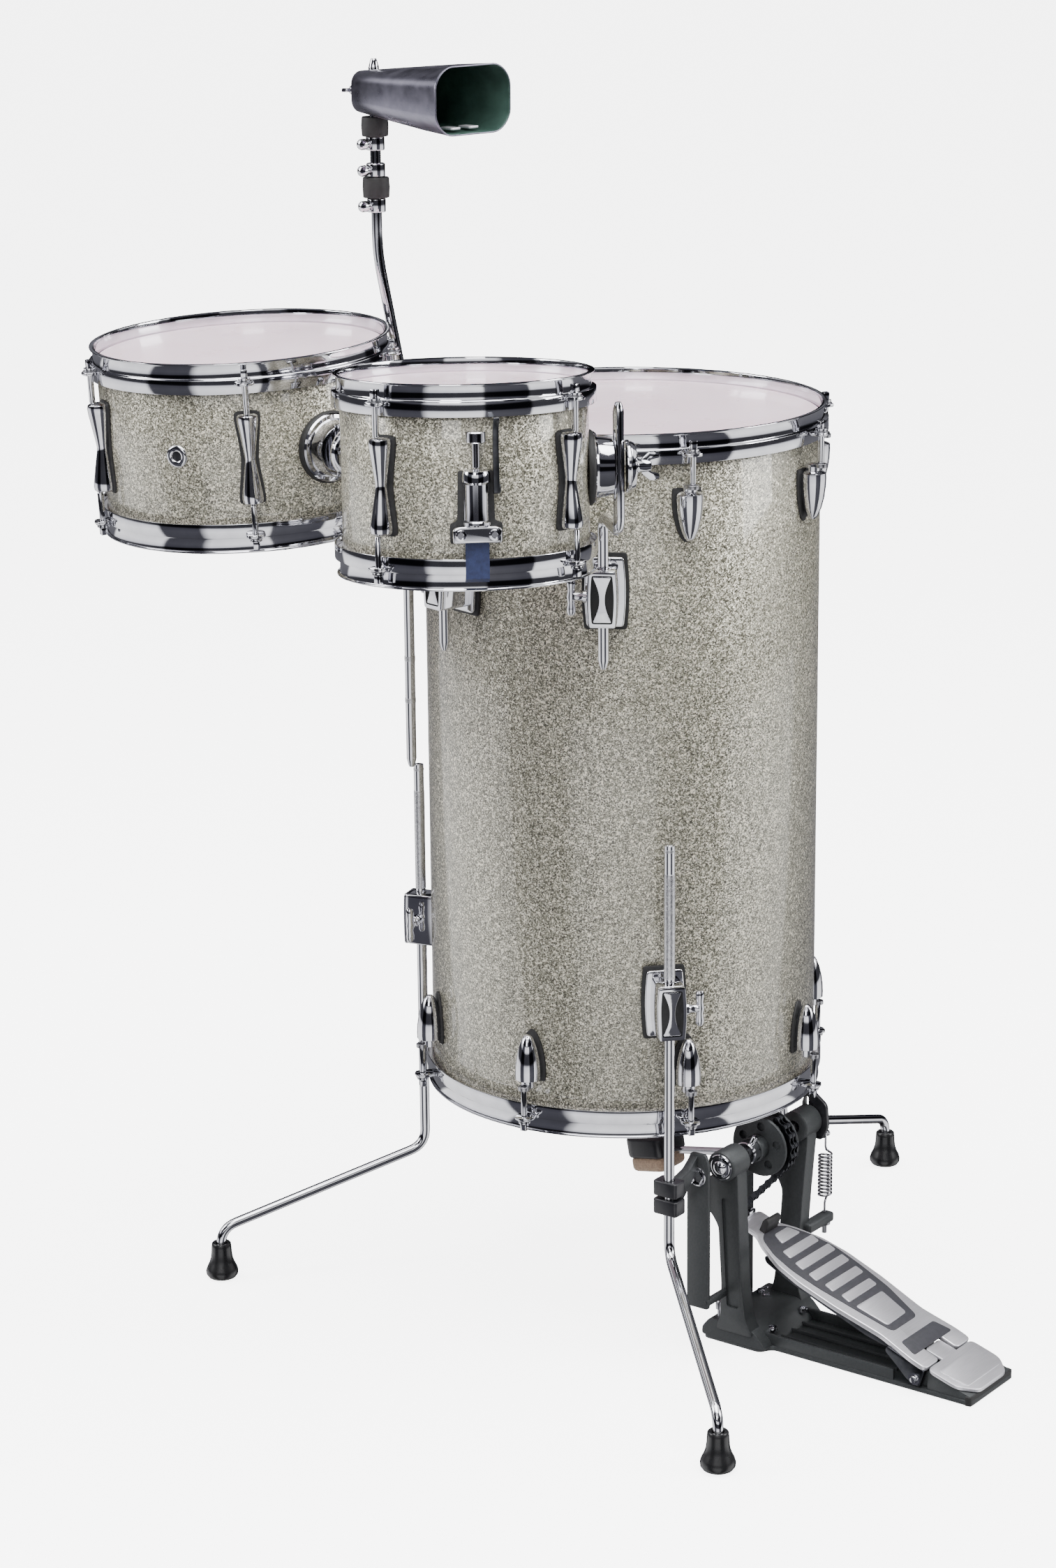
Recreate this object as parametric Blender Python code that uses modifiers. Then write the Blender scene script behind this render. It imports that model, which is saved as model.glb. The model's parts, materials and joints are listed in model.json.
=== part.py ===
"""A stand-up cocktail drum kit: a tall floor drum on three legs, a kick pedal that strikes
its bottom head, two small toms, one of them with snares, and a cowbell, all on rods.

Everything is in metres. The player stands at -Y. An angle round a drum is measured from -Y
towards +X, seen from above, and a fitting is modelled where it faces -Y, then turned there."""

from math import acos, asin, atan2, cos, degrees, pi, radians, sin

import bmesh
import bpy
from mathutils import Matrix, Vector

MM = 0.001
GAP = 0.3 * MM                      # what touching pieces keep between them

# ---- driving dimensions -------------------------------------------------------------
KIT_X, KIT_Y = 7.6 * MM, 9.4 * MM     # floor drum's axis, so that the kit's box is centred
FLOOR_R, FLOOR_Z, FLOOR_DEPTH = 178 * MM, 228 * MM, 610 * MM
SHELL_WALL = 7 * MM
FLOOR_STEPS, TOM_STEPS = 36, 28     # flats round a shell, its hoops and its heads
TOM_DEPTH = 140 * MM
LEFT_R, LEFT_AT, LEFT_MOUNT = 127 * MM, (-226.5 * MM, 247 * MM, 834 * MM), -15
RIGHT_R, RIGHT_AT, RIGHT_MOUNT = 101.6 * MM, (-309 * MM, -60 * MM, 840 * MM), 42
TOM_TILT = {"left": -3, "right": 3}  # degrees, about each tom's mount
FLOOR_LUGS, LEFT_LUGS, RIGHT_LUGS = 8, 5, 4
LUG_PHASE = -37                     # angle of one of the floor drum's lugs
LEFT_PHASE, RIGHT_PHASE = -48, -1   # angle of one lug of each tom
STRAINER_TURN = -48                 # angle of the snare strainer on the right tom
ROD_REACH = 26 * MM                 # from a shell to the rod that a bracket holds
FLOOR_TENSION, TOM_TENSION = 17, 11.5   # mm from a shell to its tension rods
ROD_R = 4.75 * MM
ARM_ANGLES = {"right": LUG_PHASE - 22.5, "left": LUG_PHASE - 67.5, "bell": LUG_PHASE - 123}
ARM_Z = 715 * MM
LEG_ANGLES = {"front": -43.5, "left": -165, "right": 75}
LEG_SPLAY = {"front": -44, "left": -127, "right": 91}
LEG_Z, LEG_TOP, LEG_BEND, LEG_KNEE, LEG_OUT = 343 * MM, 489 * MM, 112 * MM, 50 * MM, 204 * MM
PEDAL_X, SHAFT_Y, SHAFT_Z = -16 * MM, -170 * MM, 184 * MM
HINGE_Y, HINGE_Z = -354 * MM, 14 * MM
BOARD_SLOPE = 21                    # degrees, of the footboard at rest
POST_LEAN = 18                      # mm that the posts come inwards over their height
CHAIN_R = 29 * MM                   # of the chain's middle, round the shaft
BEATER_AT = (-46 * MM, -71 * MM, 165 * MM)
SPRING_X = 68 * MM

# ---- scene, collections, finishes ---------------------------------------------------
for old in list(bpy.data.objects):
    bpy.data.objects.remove(old, do_unlink=True)
parts = bpy.data.collections.new("cocktail_drum_kit")
helpers = bpy.data.collections.new("helpers")
for group in (parts, helpers):
    bpy.context.scene.collection.children.link(group)


def finish(name, colour, roughness, metallic=0.0):
    """A plain material of one colour."""
    material = bpy.data.materials.new(name)
    material.use_nodes = True
    shader = material.node_tree.nodes["Principled BSDF"]
    shader.inputs["Base Color"].default_value = (*colour, 1)
    shader.inputs["Roughness"].default_value = roughness
    shader.inputs["Metallic"].default_value = metallic
    return material


SPARKLE = finish("champagne_sparkle", (0.47, 0.45, 0.38), 0.35, 0.5)
CHROME = finish("chrome", (0.75, 0.75, 0.77), 0.1, 1.0)
FILM = finish("drumhead_film", (0.88, 0.84, 0.83), 0.4)
RUBBER = finish("black_rubber", (0.02, 0.02, 0.02), 0.7)
CASTING = finish("dark_casting", (0.06, 0.065, 0.07), 0.55, 0.3)
BRUSHED = finish("brushed_alloy", (0.6, 0.6, 0.6), 0.4, 1.0)
SATIN = finish("satin_steel", (0.45, 0.46, 0.48), 0.35, 1.0)
STEEL = finish("spring_steel", (0.55, 0.55, 0.56), 0.3, 1.0)
FELT = finish("beater_felt", (0.62, 0.5, 0.36), 0.9)
PLASTIC = finish("black_plastic", (0.025, 0.025, 0.03), 0.4)


def frame(name, place=(0, 0, 0), turn=0.0, parent=None):
    """An empty that pieces are placed in: moved, then turned by degrees about Z."""
    empty = bpy.data.objects.new(name, None)
    helpers.objects.link(empty)
    empty.location = place
    empty.rotation_euler = (0, 0, radians(turn))
    empty.parent = parent
    return empty


def new_object(name, mesh, inside):
    """A smooth-shaded object in the parts' collection, placed in the frame `inside`."""
    mesh.shade_smooth()
    mesh.set_sharp_from_angle(angle=radians(35))
    piece = bpy.data.objects.new(name, mesh)
    parts.objects.link(piece)
    piece.parent = inside
    return piece


def from_bmesh(name, bm, inside):
    mesh = bpy.data.meshes.new(name)
    bmesh.ops.recalc_face_normals(bm, faces=bm.faces)
    bm.to_mesh(mesh)
    bm.free()
    return new_object(name, mesh, inside)


def box(name, low, high, inside, bevel=0.0, turned=None):
    """A block between two corners, in millimetres, with its edges bevelled by `bevel`."""
    bm = bmesh.new()
    low, high = Vector(low) * MM, Vector(high) * MM
    bmesh.ops.create_cube(bm, size=1, matrix=Matrix.Translation((low + high) / 2)
                          @ Matrix.Diagonal((*(high - low), 1)))
    if bevel:
        bmesh.ops.bevel(bm, geom=bm.edges[:], offset=bevel * MM, segments=1, affect="EDGES")
    if turned:
        bmesh.ops.transform(bm, matrix=turned, verts=bm.verts)
    return from_bmesh(name, bm, inside)


def cone(name, start, end, radii, inside, sides=16):
    """A cylinder or cone from one point to another, in millimetres."""
    start, end = Vector(start) * MM, Vector(end) * MM
    along = end - start
    bm = bmesh.new()
    turn = along.to_track_quat("Z", "Y").to_matrix().to_4x4()
    bmesh.ops.create_cone(bm, cap_ends=True, segments=sides, radius1=radii[0] * MM,
                          radius2=radii[1] * MM, depth=along.length,
                          matrix=Matrix.Translation((start + end) / 2) @ turn)
    return from_bmesh(name, bm, inside)


def turned(name, profile, inside, steps=48):
    """A profile of (radius, height) points in metres, turned about the frame's Z."""
    area = sum(a[0] * b[1] - b[0] * a[1] for a, b in zip(profile, profile[1:] + profile[:1]))
    if area > 0:
        profile = profile[::-1]
    mesh = bpy.data.meshes.new(name)
    on_axis = min(r for r, _ in profile) < 1e-6
    count = len(profile)
    if on_axis:
        while not (profile[0][0] < 1e-6 and profile[-1][0] < 1e-6):
            profile = profile[1:] + profile[:1]
    edges = [(i, (i + 1) % count) for i in range(count - 1 if on_axis else count)]
    mesh.from_pydata([(r, 0, z) for r, z in profile], edges, [])
    piece = new_object(name, mesh, inside)
    screw = piece.modifiers.new("turn", "SCREW")
    screw.steps = screw.render_steps = steps
    screw.use_merge_vertices = True
    screw.merge_threshold = 1e-5
    return piece


def rod(name, points, radius, inside, sides=8, bend=0.0):
    """A round bar through points in millimetres, its corners rounded to the radius `bend`."""
    path = [Vector(p) for p in points]
    smooth = [path[0]]
    for before, corner, after in zip(path, path[1:], path[2:]):
        if not bend:
            smooth.append(corner)
            continue
        back, on = (before - corner).normalized(), (after - corner).normalized()
        for t in (0, 0.33, 0.67, 1):
            smooth.append(corner + back * bend * (1 - t) ** 2 + on * bend * t ** 2)
    smooth.append(path[-1])
    curve = bpy.data.curves.new(name, "CURVE")
    curve.dimensions = "3D"
    curve.bevel_depth = radius * MM
    curve.bevel_resolution = sides // 2 - 2
    curve.use_fill_caps = True
    line = curve.splines.new("POLY")
    line.points.add(len(smooth) - 1)
    for point, place in zip(line.points, smooth):
        point.co = (*(place * MM), 1)
    source = bpy.data.objects.new(name + "_line", curve)
    bpy.context.scene.collection.objects.link(source)
    bpy.context.view_layer.update()
    mesh = bpy.data.meshes.new_from_object(source.evaluated_get(bpy.context.evaluated_depsgraph_get()))
    bpy.data.objects.remove(source)
    bm = bmesh.new()
    bm.from_mesh(mesh)
    bmesh.ops.remove_doubles(bm, verts=bm.verts, dist=1e-6)
    return from_bmesh(name, bm, inside)


def slab(name, outline, low, high, inside, axis="Z"):
    """An outline in millimetres extruded along an axis: its points are the other two, in order."""
    bm = bmesh.new()
    order = {"X": (2, 0, 1), "Y": (0, 2, 1), "Z": (0, 1, 2)}[axis]

    def lift(*values):
        return [values[i] for i in order]

    face = bm.faces.new([bm.verts.new(Vector(lift(a, b, low)) * MM) for a, b in outline])
    raised = bmesh.ops.extrude_face_region(bm, geom=[face])
    rise = Vector(lift(0, 0, high - low)) * MM
    bmesh.ops.translate(bm, vec=rise, verts=[v for v in raised["geom"] if isinstance(v, bmesh.types.BMVert)])
    return from_bmesh(name, bm, inside)


def boolean(piece, others, operation):
    for other in others:
        parts.objects.unlink(other)
        helpers.objects.link(other)
        other.hide_render = True
        other.display_type = "WIRE"
        step = piece.modifiers.new(operation.lower(), "BOOLEAN")
        step.operation = operation
        step.object = other
        step.solver = "EXACT"
    return piece


def join(piece, *others):
    return boolean(piece, others, "UNION")


def cut(piece, *others):
    return boolean(piece, others, "DIFFERENCE")


def repeated(name, piece, angles):
    """One helper that holds a copy of a piece's mesh at each angle about the frame's Z."""
    bm = bmesh.new()
    for angle in angles:
        single = bmesh.new()
        single.from_mesh(piece.data)
        bmesh.ops.transform(single, matrix=Matrix.Rotation(radians(angle), 4, "Z"), verts=single.verts)
        mesh = bpy.data.meshes.new("copy")
        single.to_mesh(mesh)
        single.free()
        bm.from_mesh(mesh)
    inside = piece.parent
    bpy.data.objects.remove(piece)
    return from_bmesh(name, bm, inside)


def paint(material, *pieces):
    for piece in pieces:
        piece.data.materials.clear()
        piece.data.materials.append(material)


def around(angle, radius):
    """The point at an angle and a radius from the frame's axis, in the radius's unit."""
    return Vector((sin(radians(angle)) * radius, -cos(radians(angle)) * radius, 0))


# ---- drums --------------------------------------------------------------------------
def hoop(name, radius, edge, up, lugs, phase, inside, steps, tension):
    """A triple-flanged hoop at a shell's edge, with its ears and tension rods."""
    profile = [(1, -2.5), (5.4, -2.5), (5.4, -14), (7, -14), (7, -0.9), (2.6, -0.9),
               (2.6, 10.9), (5.6, 10.9), (5.6, 12.5), (1, 12.5)]
    ring = turned(name, [(radius + r * MM, edge + up * z * MM) for r, z in profile], inside, steps)
    angles = [phase + 360 / lugs * i for i in range(lugs)]
    out, level = radius / MM, edge / MM
    low, high = sorted((level - up * 5.5, level - up * 2.8))
    rod_at = -out - tension
    ear = box("ear", (-9, rod_at - 7, low), (9, -out - 6, high), inside)
    screw = cone("rod", (0, rod_at, level + up * 8), (0, rod_at, level - up * 30.7), (3, 3), inside, 6)
    join(ring, repeated("ears", ear, angles), repeated("rods", screw, angles))
    return ring


def head(name, radius, edge, up, inside, steps):
    """A drumhead: the film over the shell's edge, and the flesh hoop that holds it."""
    profile = [(-radius / MM, 1), (0.7, 1), (0.7, -2.8), (5.1, -2.8), (5.1, -9), (0.3, -9),
               (0.3, 0.3), (-radius / MM, 0.3)]
    return turned(name, [(radius + r * MM, edge + up * z * MM) for r, z in profile], inside, steps)


def lug(name, radius, mouth, end, inside, wide=12.0, tip=4.0):
    """A bullet-shaped lug from its mouth to its tip, its back sunk in the shell's wall."""
    deep = radius + wide - 2.5
    bm = bmesh.new()
    bmesh.ops.create_cone(bm, cap_ends=True, segments=8, radius1=wide, radius2=tip, depth=abs(end - mouth),
                          matrix=Matrix.Rotation(0 if end > mouth else pi, 4, "X"))
    bmesh.ops.bisect_plane(bm, geom=bm.verts[:] + bm.edges[:] + bm.faces[:], plane_co=(0, 0, 0), plane_no=(0, 0, 1))
    rise = (end - mouth) / 2
    for vert in bm.verts:
        if abs(vert.co.z) < 0.01:
            vert.co.xy = vert.co.xy.normalized() * wide * 0.9
        elif vert.co.z * rise > 0:
            vert.co.y += 3
    bmesh.ops.translate(bm, verts=bm.verts, vec=(0, -deep, mouth + rise))
    bmesh.ops.scale(bm, verts=bm.verts, vec=(MM, MM, MM))
    return from_bmesh(name, bm, inside)


def shell(name, radius, low, depth, inside, steps):
    return turned(name, [(radius - SHELL_WALL, low), (radius, low), (radius, low + depth),
                         (radius - SHELL_WALL, low + depth)], inside, steps)


kit = frame("kit", (KIT_X, KIT_Y, 0))
floor_top = FLOOR_Z + FLOOR_DEPTH


def floor_drum():
    body = shell("floor_shell", FLOOR_R, FLOOR_Z, FLOOR_DEPTH, kit, FLOOR_STEPS)
    radius = FLOOR_R / MM
    angles = [LUG_PHASE + 360 / FLOOR_LUGS * i for i in range(FLOOR_LUGS)]
    for label, edge, up in (("top", floor_top / MM, 1), ("bottom", FLOOR_Z / MM, -1)):
        join(body, repeated(label + "_lugs", lug("lug", radius, edge - up * 31, edge - up * 80, kit), angles))
    top = hoop("floor_top_hoop", FLOOR_R, floor_top, 1, FLOOR_LUGS, LUG_PHASE, kit, FLOOR_STEPS, FLOOR_TENSION)
    bottom = hoop("floor_bottom_hoop", FLOOR_R, FLOOR_Z, -1, FLOOR_LUGS, LUG_PHASE, kit, FLOOR_STEPS, FLOOR_TENSION)
    upper_head = head("floor_batter_head", FLOOR_R, floor_top, 1, kit, FLOOR_STEPS)
    lower_head = head("floor_kick_head", FLOOR_R, FLOOR_Z, -1, kit, FLOOR_STEPS)
    paint(SPARKLE, body)
    paint(CHROME, top, bottom)
    paint(FILM, upper_head, lower_head)


def tom(side, radius, place, mount, lugs, phase):
    """A small drum on its tilted frame, with the round mount that its rod passes."""
    stand = frame(side + "_tom", place, mount, kit)
    stand.rotation_euler = (Matrix.Rotation(radians(mount), 3, "Z")
                            @ Matrix.Rotation(radians(TOM_TILT[side]), 3, "Y")).to_euler()
    half = TOM_DEPTH / 2
    body = shell(side + "_tom_shell", radius, -half, TOM_DEPTH, stand, TOM_STEPS)
    angles = [phase - mount + 360 / lugs * i for i in range(lugs)]
    out = radius / MM
    for up in (-1, 1):
        join(body, repeated("lugs", lug("lug", out, up * 39, up * 5, stand, 9.5, 6), angles))
    waist = cone("waist", (0, -out - 4, -7), (0, -out - 4, 7), (6.5, 6.5), stand, 10)
    join(body, repeated("waists", waist, angles))
    join(body, cone("flange", (0, -out + 4, 0), (0, -out - 4, 0), (31, 31), stand),
         cone("cup", (0, -out - 3, 0), (0, -out - 19.9, 0), (25, 23), stand))
    rings = [hoop(side + "_tom_top_hoop", radius, half, 1, lugs, phase - mount, stand, TOM_STEPS, TOM_TENSION),
             hoop(side + "_tom_bottom_hoop", radius, -half, -1, lugs, phase - mount, stand, TOM_STEPS, TOM_TENSION)]
    heads = [head(side + "_tom_batter_head", radius, half, 1, stand, TOM_STEPS),
             head(side + ("_snare_head" if side == "right" else "_resonant_head"),
                  radius, -half, -1, stand, TOM_STEPS)]
    cap = cone(side + "_clamp_cap", (0, -out - 30.2, 0), (0, -out - 39, 0), (22, 21), stand)
    nut = wing_nut(side + "_wing_nut", out + 39.4, stand)
    paint(SPARKLE, body)
    paint(CHROME, cap, nut, *rings)
    paint(FILM, *heads)
    return stand, body


def wing_nut(name, start, inside):
    """A wing nut whose axis is the frame's Y: a hub and one flat pair of wings."""
    hub = cone(name, (0, -start, 0), (0, -start - 12, 0), (5.5, 5), inside, 16)
    return join(hub, box("wings", (-2, -start - 20, -12), (2, -start - 8, 12), inside, 1))


# ---- snare works on the right tom ---------------------------------------------------
def strainer(stand, tom_shell):
    """The throw-off on the right tom: its body, lever, tension knob, wires and far clamp."""
    side = frame("strainer_side", (0, 0, 0), STRAINER_TURN - RIGHT_MOUNT, stand)
    out = RIGHT_R / MM
    body = box("strainer_body", (-13, -out - 17, -30), (13, -out - GAP / MM, 16), side, 1.5)
    foot = box("strainer_foot", (-20, -out - 15, -43), (20, -out - GAP / MM, -29), side, 1)
    lever_slot = box("lever_slot", (13.5 - 0.5, -out - 18, 2), (21, -out, 17), side)
    join(body, foot)
    cut(body, lever_slot)
    lever = slab("strainer_lever", [(-out - 13, -4), (-out - 3, -4), (-out - 4, 30), (-out - 8, 52),
                                    (-out - 18, 58), (-out - 19, 55), (-out - 11, 49), (-out - 9, 30)],
                 13.4, 18.4, side, "X")
    knob = cone("strainer_knob", (0, -out - 9, 16.4), (0, -out - 9, 38), (4, 4), side, 16)
    join(knob, cone("grip", (0, -out - 9, 37), (0, -out - 9, 46), (9, 9), side, 20))
    below = -TOM_DEPTH / 2 / MM - 1 - 1.2
    wires = box("snare_wires", (-21, -74, below - 2.6), (21, 74, below - 0.4), side)
    lay = below - 1.5
    for y in (-1, 1):
        reach = sorted((y * 73, y * (out - 6)))
        join(wires, box("strap", (-10, reach[0], lay - 0.4), (10, reach[1], lay + 0.4), side))
    join(tom_shell, box("snare_butt", (-16, out - 1, -44), (16, out + 12, -22), side, 1.5))
    paint(CHROME, body, knob)
    paint(CASTING, lever)
    paint(STEEL, wires)
    return side


# ---- brackets, arms and legs --------------------------------------------------------
def bracket(name, height, screw_name, inside, screw_side):
    """A bracket on the floor drum: a plate, and a block bored for a rod and its screw."""
    out, mid = FLOOR_R / MM, height / MM
    plate = box(name, (-20, -out - 4.5, mid - 34), (20, -out - GAP / MM, mid + 34), inside, 1)
    reach = -out - ROD_REACH / MM
    block = box("block", (-13, reach - 12, mid - 25), (13, -out - 4, mid + 25), inside, 2)
    join(plate, block)
    cut(plate, cone("bore", (0, reach, mid - 40), (0, reach, mid + 40), (5.2, 5.2), inside, 20),
        cone("screw_hole", (0, reach, mid), (screw_side * 20, reach, mid), (3.6, 3.6), inside, 12))
    screw = cone(screw_name, (screw_side * 5.6, reach, mid), (screw_side * 27, reach, mid), (3.2, 3.2), inside, 12)
    near, far = sorted((screw_side * 24, screw_side * 32))
    join(screw, box("bar", (near, reach - 4, mid - 17), (far, reach + 4, mid + 17), inside, 1.5))
    paint(CHROME, plate, screw)


def tapered_bar(name, points, inside, bend):
    """A rod whose two ends taper, as a round bar and two short cones."""
    bar = rod(name, points, ROD_R / MM, inside, 8, bend)
    for end, near in ((points[0], points[1]), (points[-1], points[-2])):
        end, along = Vector(end), (Vector(end) - Vector(near)).normalized()
        join(bar, cone("taper", end - along * 0.5, end + along * 9, (4.6, 2.6), inside, 8))
    return bar


def arms():
    radius = (FLOOR_R + ROD_REACH) / MM
    for side, screw in (("right", "right_arm_screw"), ("left", "left_arm_screw"), ("bell", "bell_rod_screw")):
        inside = frame(side + "_arm_side", (0, 0, 0), ARM_ANGLES[side], kit)
        bracket(side + "_arm_bracket", ARM_Z, screw, inside, -1)
    for side, place, mount, out in (("right", RIGHT_AT, RIGHT_MOUNT, RIGHT_R), ("left", LEFT_AT, LEFT_MOUNT, LEFT_R)):
        low = around(ARM_ANGLES[side], radius)
        high = Vector(place).xy.to_3d() / MM + around(mount, out / MM + 25)
        crossing = 785
        tilt = Vector(around(mount + 90, 1)) * sin(radians(TOM_TILT[side]))
        top = 885 - crossing
        bar = tapered_bar(side + "_arm", [(low.x, low.y, 660), (low.x, low.y, crossing),
                                          (high.x - tilt.x * 42, high.y - tilt.y * 42, crossing),
                                          (high.x + tilt.x * (top - 42), high.y + tilt.y * (top - 42), 885)], kit, 14)
        paint(CHROME, bar)


def leg(side):
    inside = frame(side + "_leg_side", (0, 0, 0), LEG_ANGLES[side], kit)
    bracket(side + "_leg_bracket", LEG_Z, side + "_leg_screw", inside, 1)
    top = around(LEG_ANGLES[side], (FLOOR_R + ROD_REACH) / MM)
    foot = top + around(LEG_SPLAY[side], LEG_OUT / MM)
    knee = Vector((foot.x, foot.y, LEG_KNEE / MM))
    bar = rod(side + "_leg", [(top.x, top.y, LEG_TOP / MM), (top.x, top.y, LEG_BEND / MM), knee,
                              (foot.x, foot.y, 29.7)], ROD_R / MM, kit, 8, 16)
    join(bar, cone("taper", (top.x, top.y, LEG_TOP / MM - 0.5), (top.x, top.y, LEG_TOP / MM + 5), (4.6, 3), kit, 8))
    under = frame(side + "_foot_place", (foot.x * MM, foot.y * MM, 0), 0, kit)
    bell = [(0, 0), (13, 0), (15.5, 4), (15.5, 9), (12, 17), (9.8, 24), (9.4, 36), (5.4, 36), (5.4, 29), (0, 29)]
    rubber = turned(side + "_foot", [(r * MM, z * MM) for r, z in bell], under, 20)
    paint(CHROME, bar)
    paint(RUBBER, rubber)


# ---- cowbell ------------------------------------------------------------------------
BELL_LOW = around(ARM_ANGLES["bell"], (FLOOR_R + ROD_REACH) / MM)
BELL_HIGH = Vector((-80, 212, 0))
BELL_TURN, BELL_Z = -10, 1118


def cowbell():
    bar = tapered_bar("bell_rod", [(BELL_LOW.x, BELL_LOW.y, 504), (BELL_LOW.x, BELL_LOW.y, 850),
                                   (BELL_HIGH.x, BELL_HIGH.y, 975), (BELL_HIGH.x, BELL_HIGH.y, 1140)], kit, 20)
    side = frame("bell_side", tuple(BELL_HIGH * MM), BELL_TURN, kit)
    for name, low, high, at, sleeve in (("rod_collar_upper", 1066.5, 1078.6, 1072.5, (1078.6, 1096.4)),
                                        ("rod_collar_middle", 1042.9, 1055, 1049, (1024.3, 1042.9)),
                                        ("rod_collar_lower", 1011.5, 1023.7, 1017.5, None)):
        profile = [(5.1, low), (8.6, low), (8.6, high), (5.1, high)]
        if sleeve and sleeve[0] == high:
            profile = [(5.1, low), (8.6, low), (8.6, high), (12.4, high), (12.4, sleeve[1]), (5.1, sleeve[1])]
        elif sleeve:
            profile = [(5.1, sleeve[0]), (12.4, sleeve[0]), (12.4, low), (8.6, low), (8.6, high), (5.1, high)]
        ring = turned(name, [(r * MM, z * MM) for r, z in profile], side, 16)
        join(ring, cone("screw", (-7.6, 0, at), (-20, 0, at), (3, 3), side, 8))
        paint(CHROME, ring)
    # The bell is a flattened tapered shell, wide at its mouth and shut at the back.
    shape = [(14, 19, 19), (-130, 43, 30)]
    wall = 1.6

    def loft(name, grow, back, front):
        bm = bmesh.new()
        rings = []
        for y, wide, tall in ((shape[0][0] + back, shape[0][1], shape[0][2]), (shape[1][0] - front, shape[1][1], shape[1][2])):
            corner = min(wide, tall) * 0.55
            ring = []
            for quarter in range(4):
                cx = (wide - corner) * (1 if quarter in (0, 3) else -1)
                cz = (tall - corner) * (1 if quarter in (0, 1) else -1)
                for step in range(4):
                    a = pi / 2 * (quarter + step / 3)
                    ring.append(bm.verts.new(((cx + (corner + grow) * cos(a)) * MM, y * MM,
                                              (cz + (corner + grow) * sin(a)) * MM)))
            rings.append(ring)
        count = len(rings[0])
        for i in range(count):
            bm.faces.new([rings[0][i], rings[0][(i + 1) % count], rings[1][(i + 1) % count], rings[1][i]])
        bm.faces.new(rings[0])
        bm.faces.new(rings[1][::-1])
        bmesh.ops.translate(bm, verts=bm.verts, vec=(0, 0, BELL_Z * MM))
        return from_bmesh(name, bm, side)

    bell = loft("cowbell", 0, 0, 0)
    cut(bell, loft("hollow", -wall, -wall - 8, 10))
    block = box("mount", (-9, -9, BELL_Z - 15), (9, 13.8, BELL_Z + 15), side, 1)
    join(bell, block)
    cut(bell, cone("rod_hole", (0, 0, BELL_Z - 60), (0, 0, BELL_Z + 60), (5.1, 5.1), side, 16),
        cone("screw_hole", (0, 5, BELL_Z), (0, 30, BELL_Z), (3.4, 3.4), side, 12))
    screw = cone("bell_screw", (0, 5.4, BELL_Z), (0, 30, BELL_Z), (3, 3), side, 12)
    join(screw, box("wings", (-10, 24, BELL_Z - 2), (10, 34, BELL_Z + 2), side, 1))
    paint(CHROME, bar, screw)
    paint(SATIN, bell)


# ---- kick pedal ---------------------------------------------------------------------
PX, SY, SZ = PEDAL_X / MM, SHAFT_Y / MM, SHAFT_Z / MM
HY, HZ = HINGE_Y / MM, HINGE_Z / MM
TIP_Y, TIP_Z = -150.5, 107


def pedal_frame():
    """The cast frame: base, two posts with bearing bosses, and the brace between them."""
    base = box("pedal_frame", (PX - 37, HY - 56, 0), (PX + 37, -135, 5), kit, 1)
    shoe = slab("shoe", [(-203, 0), (-203, 9), (-186, 22), (-141, 22), (-133, 12), (-133, 0)],
                PX - 50, PX + 50, kit, "X")
    rims = [box("rim", (PX + s * 35 - 1.5, HY + 24, 4), (PX + s * 35 + 1.5, -190, 15), kit, 0.5) for s in (-1, 1)]
    join(base, shoe, *rims)
    for s in (-1, 1):
        outline = [(-186, 12), (-152, 12), (-157, 40), (-158, 130), (-134, 139), (-134, 157),
                   (-159, 176), (-183, 176), (-181, 40)]
        x = PX + s * 60
        post = slab("post", outline, x - 8, x + 8, kit, "X")
        for vert in post.data.vertices:
            vert.co.x += s * POST_LEAN * MM * (vert.co.z / SHAFT_Z - 1)
        boss = cone("boss", (x - 13 if s < 0 else x - 15, SY, SZ), (x + 15 if s < 0 else x + 13, SY, SZ), (14.5, 14.5), kit)
        join(base, post, boss)
        cut(base, cone("bearing_bore", (x - 30, SY, SZ), (x + 30, SY, SZ), (6.2, 6.2), kit, 20))
    brace = box("brace", (PX - 60, -141, 139), (PX + 60, -134.3, 156.5), kit, 1)
    rear_plate = box("rear_plate", (PX + 6, -138.5, 10), (PX + 30, -134.6, 176), kit)
    heel = slab("heel_block", [(HY - 55, 4), (HY - 10.5, 4), (HY - 10.5, HZ + 5.5), (HY - 13, HZ + 7.8), (HY - 55, 8.9)],
                PX - 36, PX + 36, kit, "X")
    yoke = [box("ear", (PX + s * 29.5 - 2.5, HY - 12, 4), (PX + s * 29.5 + 2.5, HY + 7, HZ + 6.5), kit, 1)
            for s in (-1, 1)]
    pin = cone("footboard_pin", (PX - 43, HY, HZ), (PX + 43, HY, HZ), (3.1, 3.1), kit, 12)
    spring_ear = box("spring_ear", (PX + 50, -188, 80), (PX + 92, -176, 90), kit, 1)
    join(base, brace, rear_plate, heel, *yoke, pin, spring_ear)
    # The heel plate slopes up to the hinge, and its tongue reaches over the pin into the footboard.
    heel_plate = slab("heel_plate", [(HY - 57, 8.8), (HY - 57, 12.3), (HY - 12, 26), (HY - 12, 22.5)],
                      PX - 39, PX + 39, kit, "X")
    tongue = slab("tongue", [(HY - 13, 22.6), (HY - 13, 25.5), (HY + 6, 30.5), (HY + 6, 27.2)],
                  PX - 13, PX + 13, kit, "X")
    corners = [slab("corner", [(PX + s * 45, HY - 62), (PX + s * 24, HY - 62), (PX + s * 45, HY - 30)], 0, 40, kit)
               for s in (-1, 1)]
    join(heel_plate, tongue)
    cut(heel_plate, *corners)
    paint(CASTING, base)
    paint(BRUSHED, heel_plate)


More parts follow.
